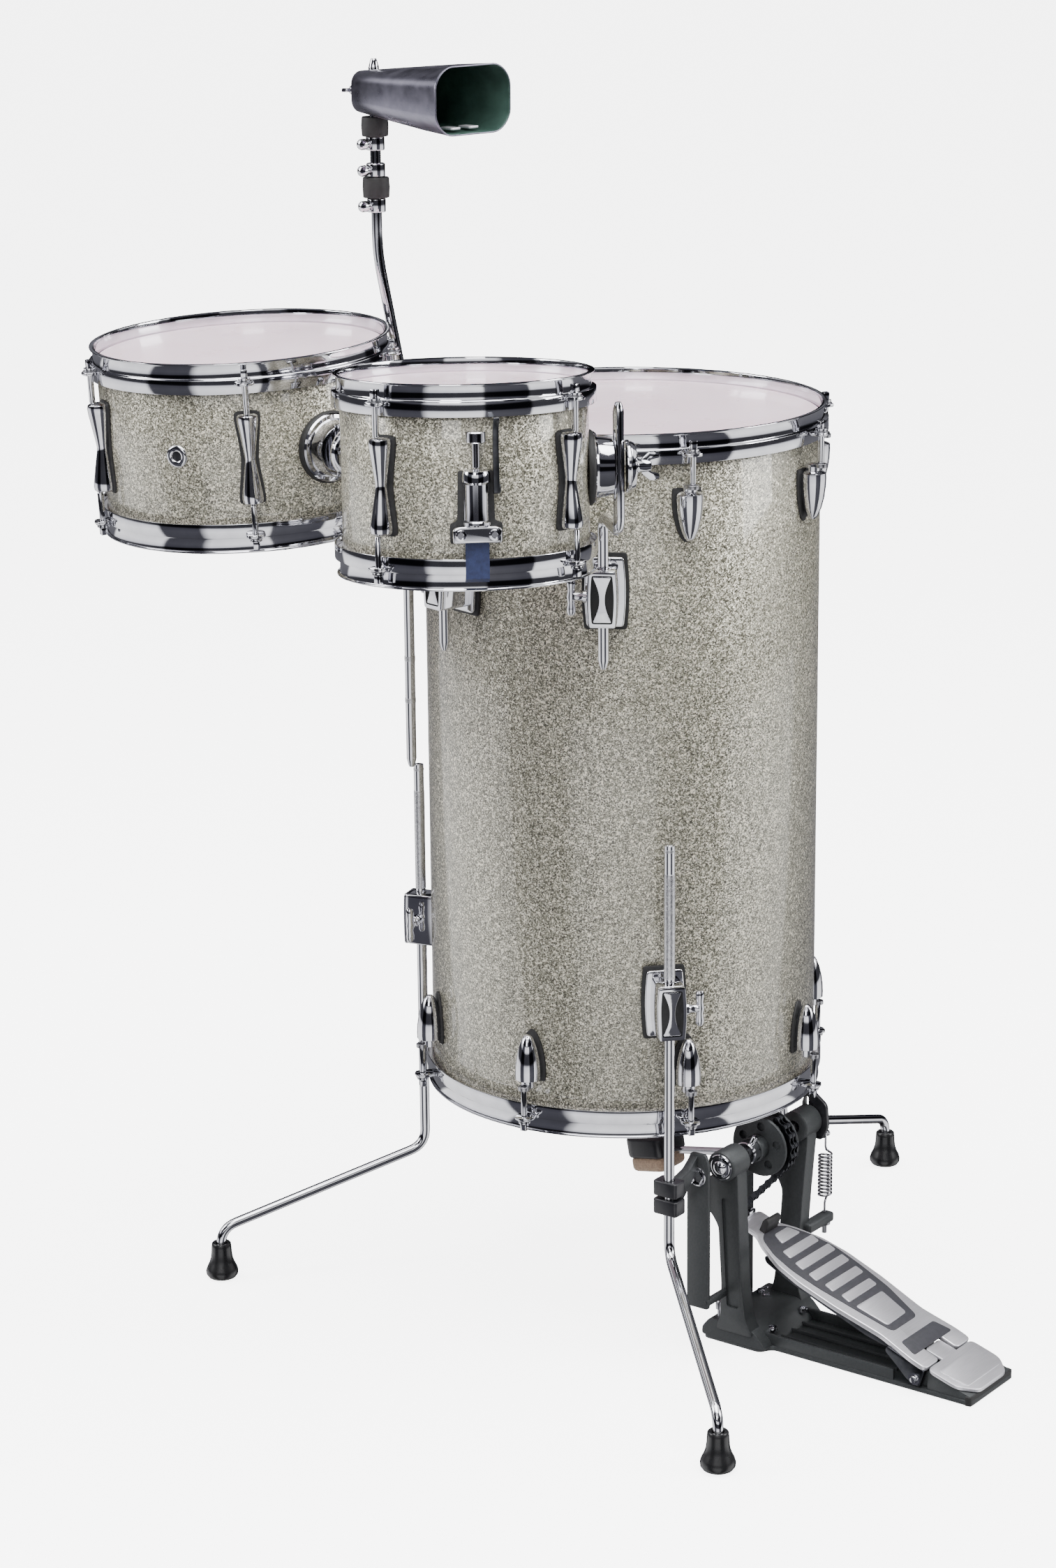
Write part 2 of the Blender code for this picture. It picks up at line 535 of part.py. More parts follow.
def footboard():
    """The footboard, modelled flat with its hinge at Y = 0, then raised to its angle."""
    place = frame("footboard_hinge", (PEDAL_X, HINGE_Y, HINGE_Z), 0, kit)
    place.rotation_euler = (radians(BOARD_SLOPE), 0, 0)
    half = [(15.5, 16), (15.5, -6), (40, -6), (40.5, 10), (38, 30), (36, 46), (38, 64), (41.5, 95),
            (42.5, 135), (38.5, 162), (27, 188), (18, 200), (17, 222)]
    board = slab("footboard", half + [(-x, y) for x, y in reversed(half)], 11, 16, place)
    stop = box("toe_stop", (-11, 196, 15), (11, 203, 30), place, 2)
    knuckle = cone("knuckle", (-26, 0, 0), (26, 0, 0), (6.4, 6.4), place, 16)
    parts_below = [knuckle, stop]
    for s in (-1, 1):
        parts_below.append(box("strut", (s * 21 - 4, -4, 0), (s * 21 + 4, 8, 12), place))
        parts_below.append(slab("cheek", [(-7, -6), (8, -6), (36, 6), (36, 12), (-6, 12)],
                                s * 36.5 - 3.5, s * 36.5 + 3.5, place, "X"))
        parts_below.append(box("skirt", (s * 31.5 - 1.5, 34, 3), (s * 31.5 + 1.5, 180, 12), place))
    join(board, *parts_below)
    cut(board, cone("pin_hole", (-48, 0, 0), (48, 0, 0), (3.5, 3.5), place, 12))
    paint(BRUSHED, board)


def drive():
    """The hexagonal shaft with its cam, the rocker and the beater, all turning together."""
    shaft = cone("cam_shaft", (PX - 77, SY, SZ), (PX + 88, SY, SZ), (4.8, 4.8), kit, 6)
    cam = cone("cam", (PX - 9, SY, SZ), (PX + 9, SY, SZ), (25, 25), kit, 20)
    flanges = [cone("flange", (PX + s * 8.5, SY, SZ), (PX + s * 11.5, SY, SZ), (29, 29), kit, 20) for s in (-1, 1)]
    hub = cone("hub", (PX - 24, SY, SZ), (PX + 20, SY, SZ), (12, 12), kit, 20)
    join(shaft, cam, *flanges, hub)
    rocker = slab("spring_rocker", [(-166, 176), (-160, 196), (-164, 209), (-172, 211), (-186, 200),
                                    (-188, 178), (-182, 166), (-172, 168)],
                  PX + 75.2, PX + 87, kit, "X")
    cut(rocker, cone("shaft_hole", (PX + 70, SY, SZ), (PX + 95, SY, SZ), (5.2, 5.2), kit, 6))
    bx, by, bz = (v / MM for v in BEATER_AT)
    arm = cone("beater", (bx - 5.8, SY, SZ), (bx + 5.8, SY, SZ), (11, 11), kit, 20)
    along = Vector((0, by - SY, bz - SZ)).normalized()
    start = Vector((bx, SY, SZ)) + along * 8
    lean = Matrix.Translation((bx * MM, by * MM, bz * MM)) @ Matrix.Rotation(asin(along.z), 4, "X")
    block = box("beater_block", (-22, -20, -4), (22, 22, 17), kit, 5, lean)
    cushion = box("beater_cushion", (-20, -18, -17), (20, 20, -3), kit, 5, lean)
    join(arm, cone("stem", tuple(start), (bx, by, bz), (4, 4), kit, 10), block, cushion)
    cut(arm, cone("shaft_hole", (bx - 10, SY, SZ), (bx + 10, SY, SZ), (5.2, 5.2), kit, 6))
    # The chain is wound from the cam's top to the point where its line to the footboard is a tangent.
    reach = CHAIN_R / MM
    end = Vector((SY - TIP_Y - 4, TIP_Z + 9 - SZ))
    leaves = degrees(atan2(end.y, end.x) + acos(reach / end.length))
    path = []
    for step in range(13):
        angle = radians(62 + (leaves - 62) * step / 12)
        path.append((PX, SY - cos(angle) * reach, SZ + sin(angle) * reach))
    path.append((PX, TIP_Y + 4, TIP_Z + 9))
    chain = rod("chain", path, 3.3, kit, 8)
    paint(STEEL, shaft)
    paint(PLASTIC, rocker)
    paint(FELT, arm)
    paint(STEEL, chain)


def spring():
    x, y = SPRING_X / MM, -182
    coil = cone("return_spring", (x, y, 106), (x, y, 150), (7, 7), kit, 16)
    join(coil, rod("hook", [(x, y, 148), (x, y, 165.5)], 1.4, kit, 6), rod("eye", [(x, y, 108), (x, y, 90.4)], 1.4, kit, 6))
    paint(STEEL, coil)


def leg_clamp():
    """The plate that ties the pedal to the front leg, with its jaw and screws."""
    top = around(LEG_ANGLES["front"], (FLOOR_R + ROD_REACH) / MM)
    plate = box("clamp_plate", (-104, -166, 48), (-100, -142, 198), kit, 0.8)
    foot = box("foot", (-104, -166, 52), (PX - 56, -160, 58), kit)
    arm = slab("arm", [(-100.5, 198), (-100.5, 184), (top.x + 8, 156), (top.x + 8, 182), (top.x + 24, 186)],
               -154, -146, kit, "Y")
    jaw = box("jaw", (top.x - 7.5, top.y - 12, 151), (top.x + 9, top.y + 13, 183), kit, 2)
    join(plate, foot, arm, jaw)
    cut(plate, cone("leg_bore", (top.x, top.y, 100), (top.x, top.y, 230), (5.3, 5.3), kit, 20))
    screw = cone("leg_clamp_screw", (top.x + 9.4, top.y + 9, 157), (top.x + 26, top.y + 9, 157), (4, 4), kit, 12)
    join(screw, box("wing", (top.x + 20, top.y + 6.5, 145), (top.x + 31, top.y + 11.5, 169), kit, 1))
    paint(CASTING, plate)
    paint(CHROME, screw)


floor_drum()
tom("left", LEFT_R, LEFT_AT, LEFT_MOUNT, LEFT_LUGS, LEFT_PHASE)
strainer(*tom("right", RIGHT_R, RIGHT_AT, RIGHT_MOUNT, RIGHT_LUGS, RIGHT_PHASE))
arms()
for which in LEG_ANGLES:
    leg(which)
cowbell()
pedal_frame()
footboard()
drive()
spring()
leg_clamp()
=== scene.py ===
# %% [markdown]
# # A stand-up cocktail drum kit
# A tall floor drum stands on three legs over a kick pedal. Two small toms and a cowbell hang
# on rods round it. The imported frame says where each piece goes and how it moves. This lesson
# dresses every part with detail: lugs, rods, gaskets, chain links, springs and finishes.

# %% Load the frame
import json
from math import acos, asin, atan2, cos, degrees, pi, radians, sin

import bpy
from mathutils import Matrix, Vector


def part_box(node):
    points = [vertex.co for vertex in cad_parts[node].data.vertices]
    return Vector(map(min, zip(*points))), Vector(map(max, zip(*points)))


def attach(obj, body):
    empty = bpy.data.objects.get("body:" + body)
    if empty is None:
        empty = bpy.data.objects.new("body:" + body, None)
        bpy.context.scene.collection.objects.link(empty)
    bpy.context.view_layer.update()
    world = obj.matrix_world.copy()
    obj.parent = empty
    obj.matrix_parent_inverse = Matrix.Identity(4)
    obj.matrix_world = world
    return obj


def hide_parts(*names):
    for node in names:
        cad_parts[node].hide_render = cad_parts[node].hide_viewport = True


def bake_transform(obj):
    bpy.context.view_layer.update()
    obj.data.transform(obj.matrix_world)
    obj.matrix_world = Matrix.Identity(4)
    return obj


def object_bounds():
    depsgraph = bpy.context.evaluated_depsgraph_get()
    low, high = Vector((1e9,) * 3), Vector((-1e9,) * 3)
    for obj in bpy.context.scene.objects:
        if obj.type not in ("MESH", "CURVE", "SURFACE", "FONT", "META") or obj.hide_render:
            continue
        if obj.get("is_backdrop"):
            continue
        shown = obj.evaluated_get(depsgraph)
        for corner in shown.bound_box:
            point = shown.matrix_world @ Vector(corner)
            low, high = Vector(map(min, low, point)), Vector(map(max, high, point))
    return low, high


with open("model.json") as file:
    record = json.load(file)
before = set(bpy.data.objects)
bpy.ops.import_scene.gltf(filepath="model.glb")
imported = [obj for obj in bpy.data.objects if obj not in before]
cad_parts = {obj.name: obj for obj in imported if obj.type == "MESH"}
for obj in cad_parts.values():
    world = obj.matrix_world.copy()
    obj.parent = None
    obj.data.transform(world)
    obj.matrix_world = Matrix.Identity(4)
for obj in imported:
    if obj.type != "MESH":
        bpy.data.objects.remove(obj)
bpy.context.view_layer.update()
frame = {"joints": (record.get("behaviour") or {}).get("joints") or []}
MM = 0.001
JOINTS = {joint["name"]: joint for joint in frame["joints"]}

# %% [markdown]
# ## Camera
# A long lens from a few metres away keeps the drums' circles calm.

# %% Camera
bpy.ops.object.select_all(action="DESELECT")
bpy.ops.object.camera_add()
camera = bpy.context.object
camera.name = "camera"
yaw, pitch, roll = radians(-53.44), radians(74.39), radians(-0.56)
aim = Matrix.Rotation(yaw, 4, "Z") @ Matrix.Rotation(pitch, 4, "X") @ Matrix.Rotation(roll, 4, "Z")
camera.matrix_world = Matrix.Translation((-2.6091, -1.8228, 1.3861)) @ aim
camera.data.sensor_fit = "HORIZONTAL"
camera.data.sensor_width = 36
camera.data.lens = 122.8
camera.data.clip_end = 200
bpy.context.scene.camera = camera
print("camera lens", round(camera.data.lens, 1), "mm")


# %% [markdown]
# ## Finishes as Python sums
# A material is a network of nodes. One small class wraps a socket, so that adding or
# multiplying two of them adds the Math node that does it, and the networks read as sums.

# %% The node helpers
class Socket:
    """A node's output that makes Math nodes when it is used in a sum."""

    def __init__(self, tree, output):
        self.tree, self.output = tree, output

    def math(self, operation, first, second):
        return add_node(self.tree, "ShaderNodeMath", {"operation": operation}, {0: first, 1: second})

    def __add__(self, other):
        return self.math("ADD", self, other)

    def __sub__(self, other):
        return self.math("SUBTRACT", self, other)

    def __rsub__(self, other):
        return self.math("SUBTRACT", other, self)

    def __mul__(self, other):
        return self.math("MULTIPLY", self, other)

    __radd__, __rmul__ = __add__, __mul__


def add_node(tree, kind, settings=None, inputs=None, out=0):
    """A node with its settings first and then the values or links of its sockets."""
    node = tree.nodes.new(kind)
    for name, value in (settings or {}).items():
        if name == "stops":
            ramp = node.color_ramp
            while len(ramp.elements) < len(value):
                ramp.elements.new(0.5)
            for element, (place, colour) in zip(ramp.elements, value):
                element.position, element.color = place, (*colour, 1)
        else:
            setattr(node, name, value)
    for name, value in (inputs or {}).items():
        if isinstance(value, Socket):
            tree.links.new(value.output, node.inputs[name])
        else:
            node.inputs[name].default_value = value
    return Socket(tree, node.outputs[out])


print("sockets can be summed")

# %% [markdown]
# ## Making a finish
# Every finish is a Principled shader. Its constants are set on the shader's own sockets, and
# noise, ramps and bumps feed only its colour, roughness and normal, so that they can be baked.


# %% Making a finish
class Finish:
    def __init__(self, name, **constants):
        self.material = bpy.data.materials.new(name)
        self.material.use_nodes = True
        self.tree = self.material.node_tree
        self.shader = self.tree.nodes["Principled BSDF"]
        for socket, value in constants.items():
            self.shader.inputs[socket.replace("_", " ")].default_value = value
        self.place = self.node("ShaderNodeTexCoord", out=3)

    def node(self, kind, settings=None, inputs=None, out=0):
        return add_node(self.tree, kind, settings, inputs, out)

    def noise(self, scale, detail=3.0, stretch=(1, 1, 1)):
        """Cloudy noise from 0 to 1. The scale is in waves for each metre."""
        place = self.node("ShaderNodeMapping", None, {0: self.place, 3: stretch})
        return self.node("ShaderNodeTexNoise", None, {"Vector": place, "Scale": scale, "Detail": detail})

    def ramp(self, value, stops, out=0):
        return self.node("ShaderNodeValToRGB", {"stops": stops}, {0: value}, out)

    def bump(self, height, strength, distance):
        sizes = {"Height": height, "Strength": strength, "Distance": distance}
        return self.node("ShaderNodeBump", None, sizes)

    def feed(self, **links):
        for socket, value in links.items():
            self.tree.links.new(value.output, self.shader.inputs[socket.replace("_", " ")])
        return self.material


print("node helpers ready")

# %% [markdown]
# ## Sparkle wrap
# The shells are wrapped in plastic film full of glitter. Each flake lies at its own angle, so it
# is bright or dark. A Voronoi texture gives one random colour for each small cell: its value
# lightens or darkens the champagne colour, a painted reflection of each flake's angle, and its
# colour tips the normal. Bright spots from a second Voronoi are painted glints in the colour.


# %% Sparkle wrap
def sparkle_wrap():
    wrap = Finish("sparkle_wrap", Roughness=0.34, Metallic=0.35, Coat_Weight=0.7, Coat_Roughness=0.05)
    flakes = wrap.node("ShaderNodeTexVoronoi", None, {"Vector": wrap.place, "Scale": 1050.0}, "Color")
    grain = wrap.node("ShaderNodeSeparateColor", None, {0: flakes})
    # painted glints: the coarser cells put bright gold spots into the colour
    painted_glint_cells = wrap.node("ShaderNodeTexVoronoi", None, {"Vector": wrap.place, "Scale": 620.0}, "Color")
    painted_glint_value = wrap.node("ShaderNodeSeparateColor", None, {0: painted_glint_cells}, 1)
    # painted reflection: the flake value makes each flake lighter or darker in the base colour, as its
    # angle would
    value = grain * 0.9 + wrap.noise(900.0, 2.0) * 0.2 - 0.05
    colour = wrap.ramp(value, [(0.08, (0.08, 0.076, 0.056)), (0.42, (0.26, 0.248, 0.19)),
                               (0.7, (0.5, 0.475, 0.375)), (0.92, (0.98, 0.93, 0.79))])
    painted_glint_spots = wrap.ramp(painted_glint_value, [(0.9, (0, 0, 0)), (0.94, (1, 1, 1))])
    colour = wrap.node("ShaderNodeMix", {"data_type": "RGBA"}, {0: painted_glint_spots, 6: colour, 7: (1.0, 0.93, 0.75, 1)},
                       2)
    tip = wrap.node("ShaderNodeVectorMath", {"operation": "MULTIPLY_ADD"},
                    {0: flakes, 1: (0.36, 0.36, 0.36), 2: (-0.18, -0.18, -0.18)})
    normal = wrap.node("ShaderNodeNewGeometry", out="Normal")
    tipped = wrap.node("ShaderNodeVectorMath", {"operation": "ADD"}, {0: normal, 1: tip})
    level = wrap.node("ShaderNodeVectorMath", {"operation": "NORMALIZE"}, {0: tipped})
    return wrap.feed(Base_Color=colour, Normal=level)


SPARKLE = sparkle_wrap()
print("made", SPARKLE.name)

# %% [markdown]
# ## Metals
# Chrome is nearly a mirror, with faint smears that only change its roughness. Brushed alloy has
# fine lines, made by noise stretched along one axis. Cast parts have a fine orange-peel bump.


# %% Metals
def metal(name, colour, dark, roughness, spread, grain=60.0, stretch=(1, 1, 1), bump=0.0, metallic=1.0):
    """A metal whose colour and roughness drift with cloudy noise."""
    made = Finish(name, Metallic=metallic)
    cloud = made.noise(grain, 4.0, stretch)
    tint = made.ramp(cloud, [(0.3, dark), (0.7, colour)])
    links = {"Base_Color": tint, "Roughness": cloud * spread + roughness}
    if bump:
        links["Normal"] = made.bump(made.noise(grain * 6, 3.0, stretch), bump, 0.0004)
    return made.feed(**links)


CHROME = metal("chrome", (0.7, 0.7, 0.73), (0.6, 0.6, 0.63), 0.03, 0.06)
KNURLED = metal("knurled_chrome", (0.72, 0.72, 0.74), (0.5, 0.5, 0.52), 0.18, 0.12, 380.0, bump=0.5)
BRUSHED = metal("brushed_alloy", (0.82, 0.81, 0.85), (0.72, 0.71, 0.75), 0.3, 0.14, 60.0, (1, 30, 1), 0.08,
                metallic=0.75)
BELL = metal("bell_satin", (0.25, 0.24, 0.3), (0.17, 0.165, 0.21), 0.2, 0.2, 26.0, (6, 1, 3), 0.08)
BELL_INSIDE = metal("bell_inside", (0.05, 0.105, 0.085), (0.025, 0.055, 0.045), 0.35, 0.25, 40.0,
                    metallic=0.3)
CASTING = metal("dark_casting", (0.05, 0.054, 0.056), (0.04, 0.044, 0.046), 0.38, 0.15, 500.0, bump=0.35,
                metallic=0.3)
STEEL = metal("spring_steel", (0.42, 0.42, 0.44), (0.26, 0.26, 0.28), 0.2, 0.2, 120.0)
DARK_STEEL = metal("dark_steel", (0.07, 0.072, 0.08), (0.035, 0.037, 0.042), 0.25, 0.2, 120.0)
print("metals:", CHROME.name, KNURLED.name, BRUSHED.name, BELL.name, CASTING.name, STEEL.name)

# %% [markdown]
# ## Film, rubber, plastic and felt
# Drumhead film is milky and a little uneven. Rubber and plastic differ in their grain and sheen.
# Felt is pressed wool: two sizes of noise give it tangled fibres and a soft bump.


# %% Soft and plastic finishes
def plain(name, colour, dark, roughness, spread, grain, bump, **constants):
    """A finish without metal, mottled by noise, with a fine bump."""
    made = Finish(name, **constants)
    cloud = made.noise(grain, 4.0)
    tint = made.ramp(cloud, [(0.3, dark), (0.7, colour)])
    height = made.bump(made.noise(grain * 5, 3.0), bump, 0.0005)
    return made.feed(Base_Color=tint, Roughness=cloud * spread + roughness, Normal=height)


FILM = plain("drumhead_film", (0.98, 0.76, 0.81), (0.95, 0.69, 0.75), 0.22, 0.12, 14.0, 0.02,
             Subsurface_Weight=0.15, Coat_Weight=0.2)
RUBBER = plain("black_rubber", (0.02, 0.02, 0.021), (0.01, 0.01, 0.01), 0.5, 0.2, 200.0, 0.2)
FOOT_RUBBER = plain("foot_rubber", (0.014, 0.014, 0.015), (0.009, 0.009, 0.01), 0.2, 0.15, 90.0, 0.04)
PLASTIC = plain("black_plastic", (0.018, 0.018, 0.022), (0.011, 0.011, 0.014), 0.25, 0.15, 150.0, 0.08)
INLAY = plain("grip_inlay", (0.04, 0.04, 0.048), (0.026, 0.026, 0.032), 0.5, 0.2, 260.0, 0.5)
FELT = plain("beater_felt", (0.6, 0.44, 0.31), (0.4, 0.28, 0.19), 0.85, 0.1, 500.0, 0.9, Sheen_Weight=0.4,
             Sheen_Roughness=0.5)
STRAP = plain("blue_strap", (0.03, 0.045, 0.13), (0.018, 0.026, 0.08), 0.5, 0.15, 300.0, 0.3)
FLOOR = plain("studio_floor", (0.93, 0.93, 0.93), (0.92, 0.92, 0.92), 0.7, 0.05, 2.0, 0.0)
print("soft finishes:", FILM.name, RUBBER.name, PLASTIC.name, INLAY.name, FELT.name, STRAP.name)

# %% [markdown]
# ## Floor and lamps
# The floor glows a little and is hidden from reflections, or it would wash the dark out of the
# chrome. Four large square lamps give soft light from above and from three sides.

# %% Floor and lamps
FLOOR_GLOW, SKY_GLOW = 5.0, 2.0
bpy.ops.object.select_all(action="DESELECT")
bpy.ops.mesh.primitive_plane_add(size=80, location=(0, 0, -0.0003))
ground = bpy.context.object
ground.name = "studio_floor"
ground.data.materials.append(FLOOR)
floor_shader = FLOOR.node_tree.nodes["Principled BSDF"]
floor_shader.inputs["Emission Color"].default_value = (1, 1, 1, 1)
floor_shader.inputs["Emission Strength"].default_value = FLOOR_GLOW
ground.visible_glossy, ground.visible_diffuse = False, False
ground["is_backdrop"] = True


def lamp(name, place, size, watts, towards=(0, 0, 0.5)):
    turn = (Vector(towards) - Vector(place)).to_track_quat("-Z", "Y").to_euler()
    bpy.ops.object.light_add(type="AREA", location=place, rotation=turn)
    light = bpy.context.object
    light.name = name
    light.data.shape, light.data.size, light.data.energy = "SQUARE", size, watts
    return light


lamp("lamp_top", (-0.6, -0.4, 3.6), 3.0, 240)
lamp("lamp_left", (-2.2, 2.6, 2.2), 1.6, 60)
lamp("lamp_right", (1.6, -3.0, 2.0), 1.4, 55)
lamp("lamp_front", (-3.6, -1.6, 2.6), 1.2, 30)
print("floor and four lamps")

# %% [markdown]
# ## Sky
# Chrome only looks like chrome when it has bright and dark things to mirror. A Light Path node
# keeps them out of sight: what is looked at directly beyond the floor is plain white.

# %% Sky
sky = bpy.data.worlds.new("studio_sky")
bpy.context.scene.world = sky
sky.use_nodes = True
heading = add_node(sky.node_tree, "ShaderNodeTexCoord", out=0)
along, across, up = [add_node(sky.node_tree, "ShaderNodeSeparateXYZ", None, {0: heading}, axis)
                     for axis in range(3)]
SKY_BANDS = [(0.0, (0.55, 0.55, 0.55)), (0.36, (1.0, 1.0, 1.0)), (0.43, (0.75, 0.75, 0.78)),
             (0.455, (0.03, 0.03, 0.035)),
             (0.57, (0.03, 0.03, 0.035)), (0.6, (0.9, 0.9, 0.92)), (0.665, (1.0, 1.0, 1.0)),
             (0.68, (0.04, 0.04, 0.05)),
             (0.775, (0.06, 0.06, 0.07)), (0.81, (1.0, 1.0, 1.0))]
bands = add_node(sky.node_tree, "ShaderNodeValToRGB", {"stops": SKY_BANDS}, {0: up * 0.5 + 0.5})
turn = across.math("ARCTAN2", across, along) * (0.5 / pi) + 0.5
SCREENS = [(0.0, (0.05, 0.05, 0.06)), (0.02, (0.85, 0.85, 0.87)), (0.15, (1.0, 1.0, 1.0)),
           (0.156, (0.07, 0.07, 0.08)),
           (0.27, (0.05, 0.05, 0.06)), (0.276, (1.0, 1.0, 1.0)), (0.42, (1.0, 1.0, 1.0)),
           (0.43, (0.1, 0.1, 0.11)),
           (0.72, (0.1, 0.1, 0.11)), (0.73, (1.0, 1.0, 1.0)), (0.9, (0.9, 0.9, 0.92)),
           (0.91, (0.05, 0.05, 0.06))]
screens = add_node(sky.node_tree, "ShaderNodeValToRGB", {"stops": SCREENS}, {0: turn})
bands = add_node(sky.node_tree, "ShaderNodeVectorMath", {"operation": "MULTIPLY"}, {0: bands, 1: screens})
seen = add_node(sky.node_tree, "ShaderNodeLightPath")
bands = add_node(sky.node_tree, "ShaderNodeMix", {"data_type": "RGBA"},
                 {0: seen, 6: bands, 7: (0.97, 0.97, 0.97, 1)}, 2)
backdrop = sky.node_tree.nodes["Background"]
sky.node_tree.links.new(bands.output, backdrop.inputs[0])
sky.node_tree.links.new((seen * (FLOOR_GLOW - SKY_GLOW + 0.4) + SKY_GLOW).output, backdrop.inputs[1])
print("sky with", len(SKY_BANDS), "bands")

# %% [markdown]
# ## Modelling helpers
# Most of a drum kit is turned, sawn from plate or bent from rod, so three helpers make nearly
# every piece. Each starts from a primitive and shapes it with edit mode operators.


# %% Selecting and applying
def only(piece):
    bpy.ops.object.select_all(action="DESELECT")
    piece.select_set(True)
    bpy.context.view_layer.objects.active = piece


def edit(piece):
    """Opens a piece in edit mode with all of it selected."""
    only(piece)
    bpy.ops.object.mode_set(mode="EDIT")
    bpy.ops.mesh.select_all(action="SELECT")


def clean(piece):
    """Merges doubles and points every face outwards."""
    edit(piece)
    bpy.ops.mesh.remove_doubles(threshold=0.000008)
    bpy.ops.mesh.normals_make_consistent(inside=False)
    bpy.ops.object.mode_set(mode="OBJECT")
    return piece


def apply(piece, kind, **settings):
    """Adds a modifier, sets it and applies it."""
    only(piece)
    step = piece.modifiers.new(kind.lower(), kind)
    for name, value in settings.items():
        setattr(step, name, value)
    bpy.ops.object.modifier_apply(modifier=step.name)
    return piece


def soften(piece, width, segments=2, angle=35):
    return apply(piece, "BEVEL", width=width * MM, segments=segments, limit_method="ANGLE",
                 angle_limit=radians(angle), use_clamp_overlap=True)


def settle(piece, place):
    """Moves a piece by a matrix and applies that, so its object stays at the origin."""
    only(piece)
    piece.matrix_world = place @ piece.matrix_world
    bpy.ops.object.transform_apply(location=True, rotation=True, scale=True)
    return piece


def cut(piece, *cutters):
    for cutter in cutters:
        apply(piece, "BOOLEAN", operation="DIFFERENCE", object=cutter, solver="EXACT")
        bpy.data.objects.remove(cutter)
    return piece


print("helpers for selecting, editing and cutting")

# %% [markdown]
# ## Copying and dressing
# What repeats is modelled once and copied, each copy with its own mesh. Dressing gives a piece
# its finish and smooth shading, and says which body it moves with.

# %% Copying and dressing
SMOOTH_ANGLE = radians(38)


def joined(*pieces):
    only(pieces[0])
    for piece in pieces:
        piece.select_set(True)
    bpy.ops.object.join()
    return pieces[0]


def at_places(piece, places):
    """The piece at the first matrix and a copy with its own mesh at each of the others."""
    made = [piece]
    for _ in places[1:]:
        only(piece)
        bpy.ops.object.duplicate()
        made.append(bpy.context.object)
    return [settle(one, place) for one, place in zip(made, places)]


def dress(pieces, finish, body, *stands_for, slot=None):
    """Gives pieces their finish and body; the first stands for CAD nodes, which are hidden. The slot
    argument is not used.
    """
    pieces = pieces if isinstance(pieces, list) else [pieces]
    for piece in pieces:
        if len(piece.data.materials) < 2:
            piece.data.materials.clear()
            piece.data.materials.append(finish)
        only(piece)
        bpy.ops.object.shade_smooth_by_angle(angle=SMOOTH_ANGLE)
        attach(piece, body)
    if stands_for:
        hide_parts(*stands_for)
    return pieces


print("helpers for copying and dressing")


# %% [markdown]
# ## Outlines and turned pieces
# A sharp corner looks false, so outlines get small arcs. A turned piece starts as a plane merged
# to one point: extruding that point draws the profile, and Spin sweeps it round the axis.

# %% Outlines and turned pieces
def mirrored(half, middle=0.0):
    """An outline from its right half, which comes back down on the left."""
    return list(half) + [(2 * middle - x, y) for x, y in reversed(half) if x != middle]


def smooth_corners(points, radius, closed=True, steps=3):
    """An outline with each corner cut by a small arc of about that radius."""
    count, out = len(points), []
    for i, point in enumerate(points):
        if not closed and i in (0, count - 1):
            out.append(tuple(point))
            continue
        here = Vector(point)
        back, on = Vector(points[i - 1]) - here, Vector(points[(i + 1) % count]) - here
        reach = min(radius, back.length * 0.45, on.length * 0.45)
        a, b = here + back.normalized() * reach, here + on.normalized() * reach
        for step in range(steps + 1):
            t = step / steps
            out.append(tuple(a * (1 - t) ** 2 + here * 2 * t * (1 - t) + b * t ** 2))
    return out


def turned(name, profile, steps=48, closed=False, corner=0.0):
    """A profile of (radius, height) in millimetres, drawn point by point and spun round Z."""
    profile = smooth_corners(profile, corner) if corner else profile
    bpy.ops.object.select_all(action="DESELECT")
    bpy.ops.mesh.primitive_plane_add(size=0.001)
    piece = bpy.context.object
    piece.name = name
    edit(piece)
    bpy.ops.mesh.merge(type="CENTER")
    bpy.ops.transform.translate(value=(profile[0][0] * MM, 0, profile[0][1] * MM))
    route = list(profile) + ([profile[0]] if closed else [])
    for (r0, z0), (r1, z1) in zip(route, route[1:]):
        step = ((r1 - r0) * MM, 0, (z1 - z0) * MM)
        bpy.ops.mesh.extrude_region_move(TRANSFORM_OT_translate={"value": step})
    bpy.ops.mesh.select_all(action="SELECT")
    bpy.ops.mesh.spin(steps=steps, angle=2 * pi, center=(0, 0, 0), axis=(0, 0, 1))
    bpy.ops.object.mode_set(mode="OBJECT")
    return clean(piece)


print("turned pieces are ready")

# %% [markdown]
# ## Sawn and laid pieces
# Plates and blocks are flat outlines that are extruded along one of the axes and bevelled. The
# matrices stand the piece up along its axis. A spindle is a turned piece laid between two points.

# %% Sawn, block, spindle and stud
AXES = {"X": Matrix(((0, 0, 1, 0), (1, 0, 0, 0), (0, 1, 0, 0), (0, 0, 0, 1))),
        "Y": Matrix(((1, 0, 0, 0), (0, 0, 1, 0), (0, 1, 0, 0), (0, 0, 0, 1))), "Z": Matrix.Identity(4)}


def sawn(name, outline, low, high, axis="Z", bevel=0.0, segments=2, corner=0.0):
    """A flat outline extruded along an axis; its points are the other two axes, in order."""
    outline = smooth_corners(outline, corner) if corner else outline
    bpy.ops.object.select_all(action="DESELECT")
    bpy.ops.mesh.primitive_circle_add(vertices=len(outline), radius=0.01, fill_type="NGON")
    piece = bpy.context.object
    piece.name = name
    for corner, (a, b) in zip(piece.data.vertices, outline):
        corner.co = (a * MM, b * MM, low * MM)
    edit(piece)
    bpy.ops.mesh.extrude_region_move(TRANSFORM_OT_translate={"value": (0, 0, (high - low) * MM)})
    bpy.ops.object.mode_set(mode="OBJECT")
    settle(piece, AXES[axis])
    clean(piece)
    return soften(piece, bevel, segments) if bevel else piece


def block(name, low, high, bevel=1.0, segments=2):
    """A block between two corners, with its edges rounded."""
    low, high = Vector(low), Vector(high)
    outline = [(low.x, low.y), (high.x, low.y), (high.x, high.y), (low.x, high.y)]
    return sawn(name, outline, low.z, high.z, "Z", bevel, segments)


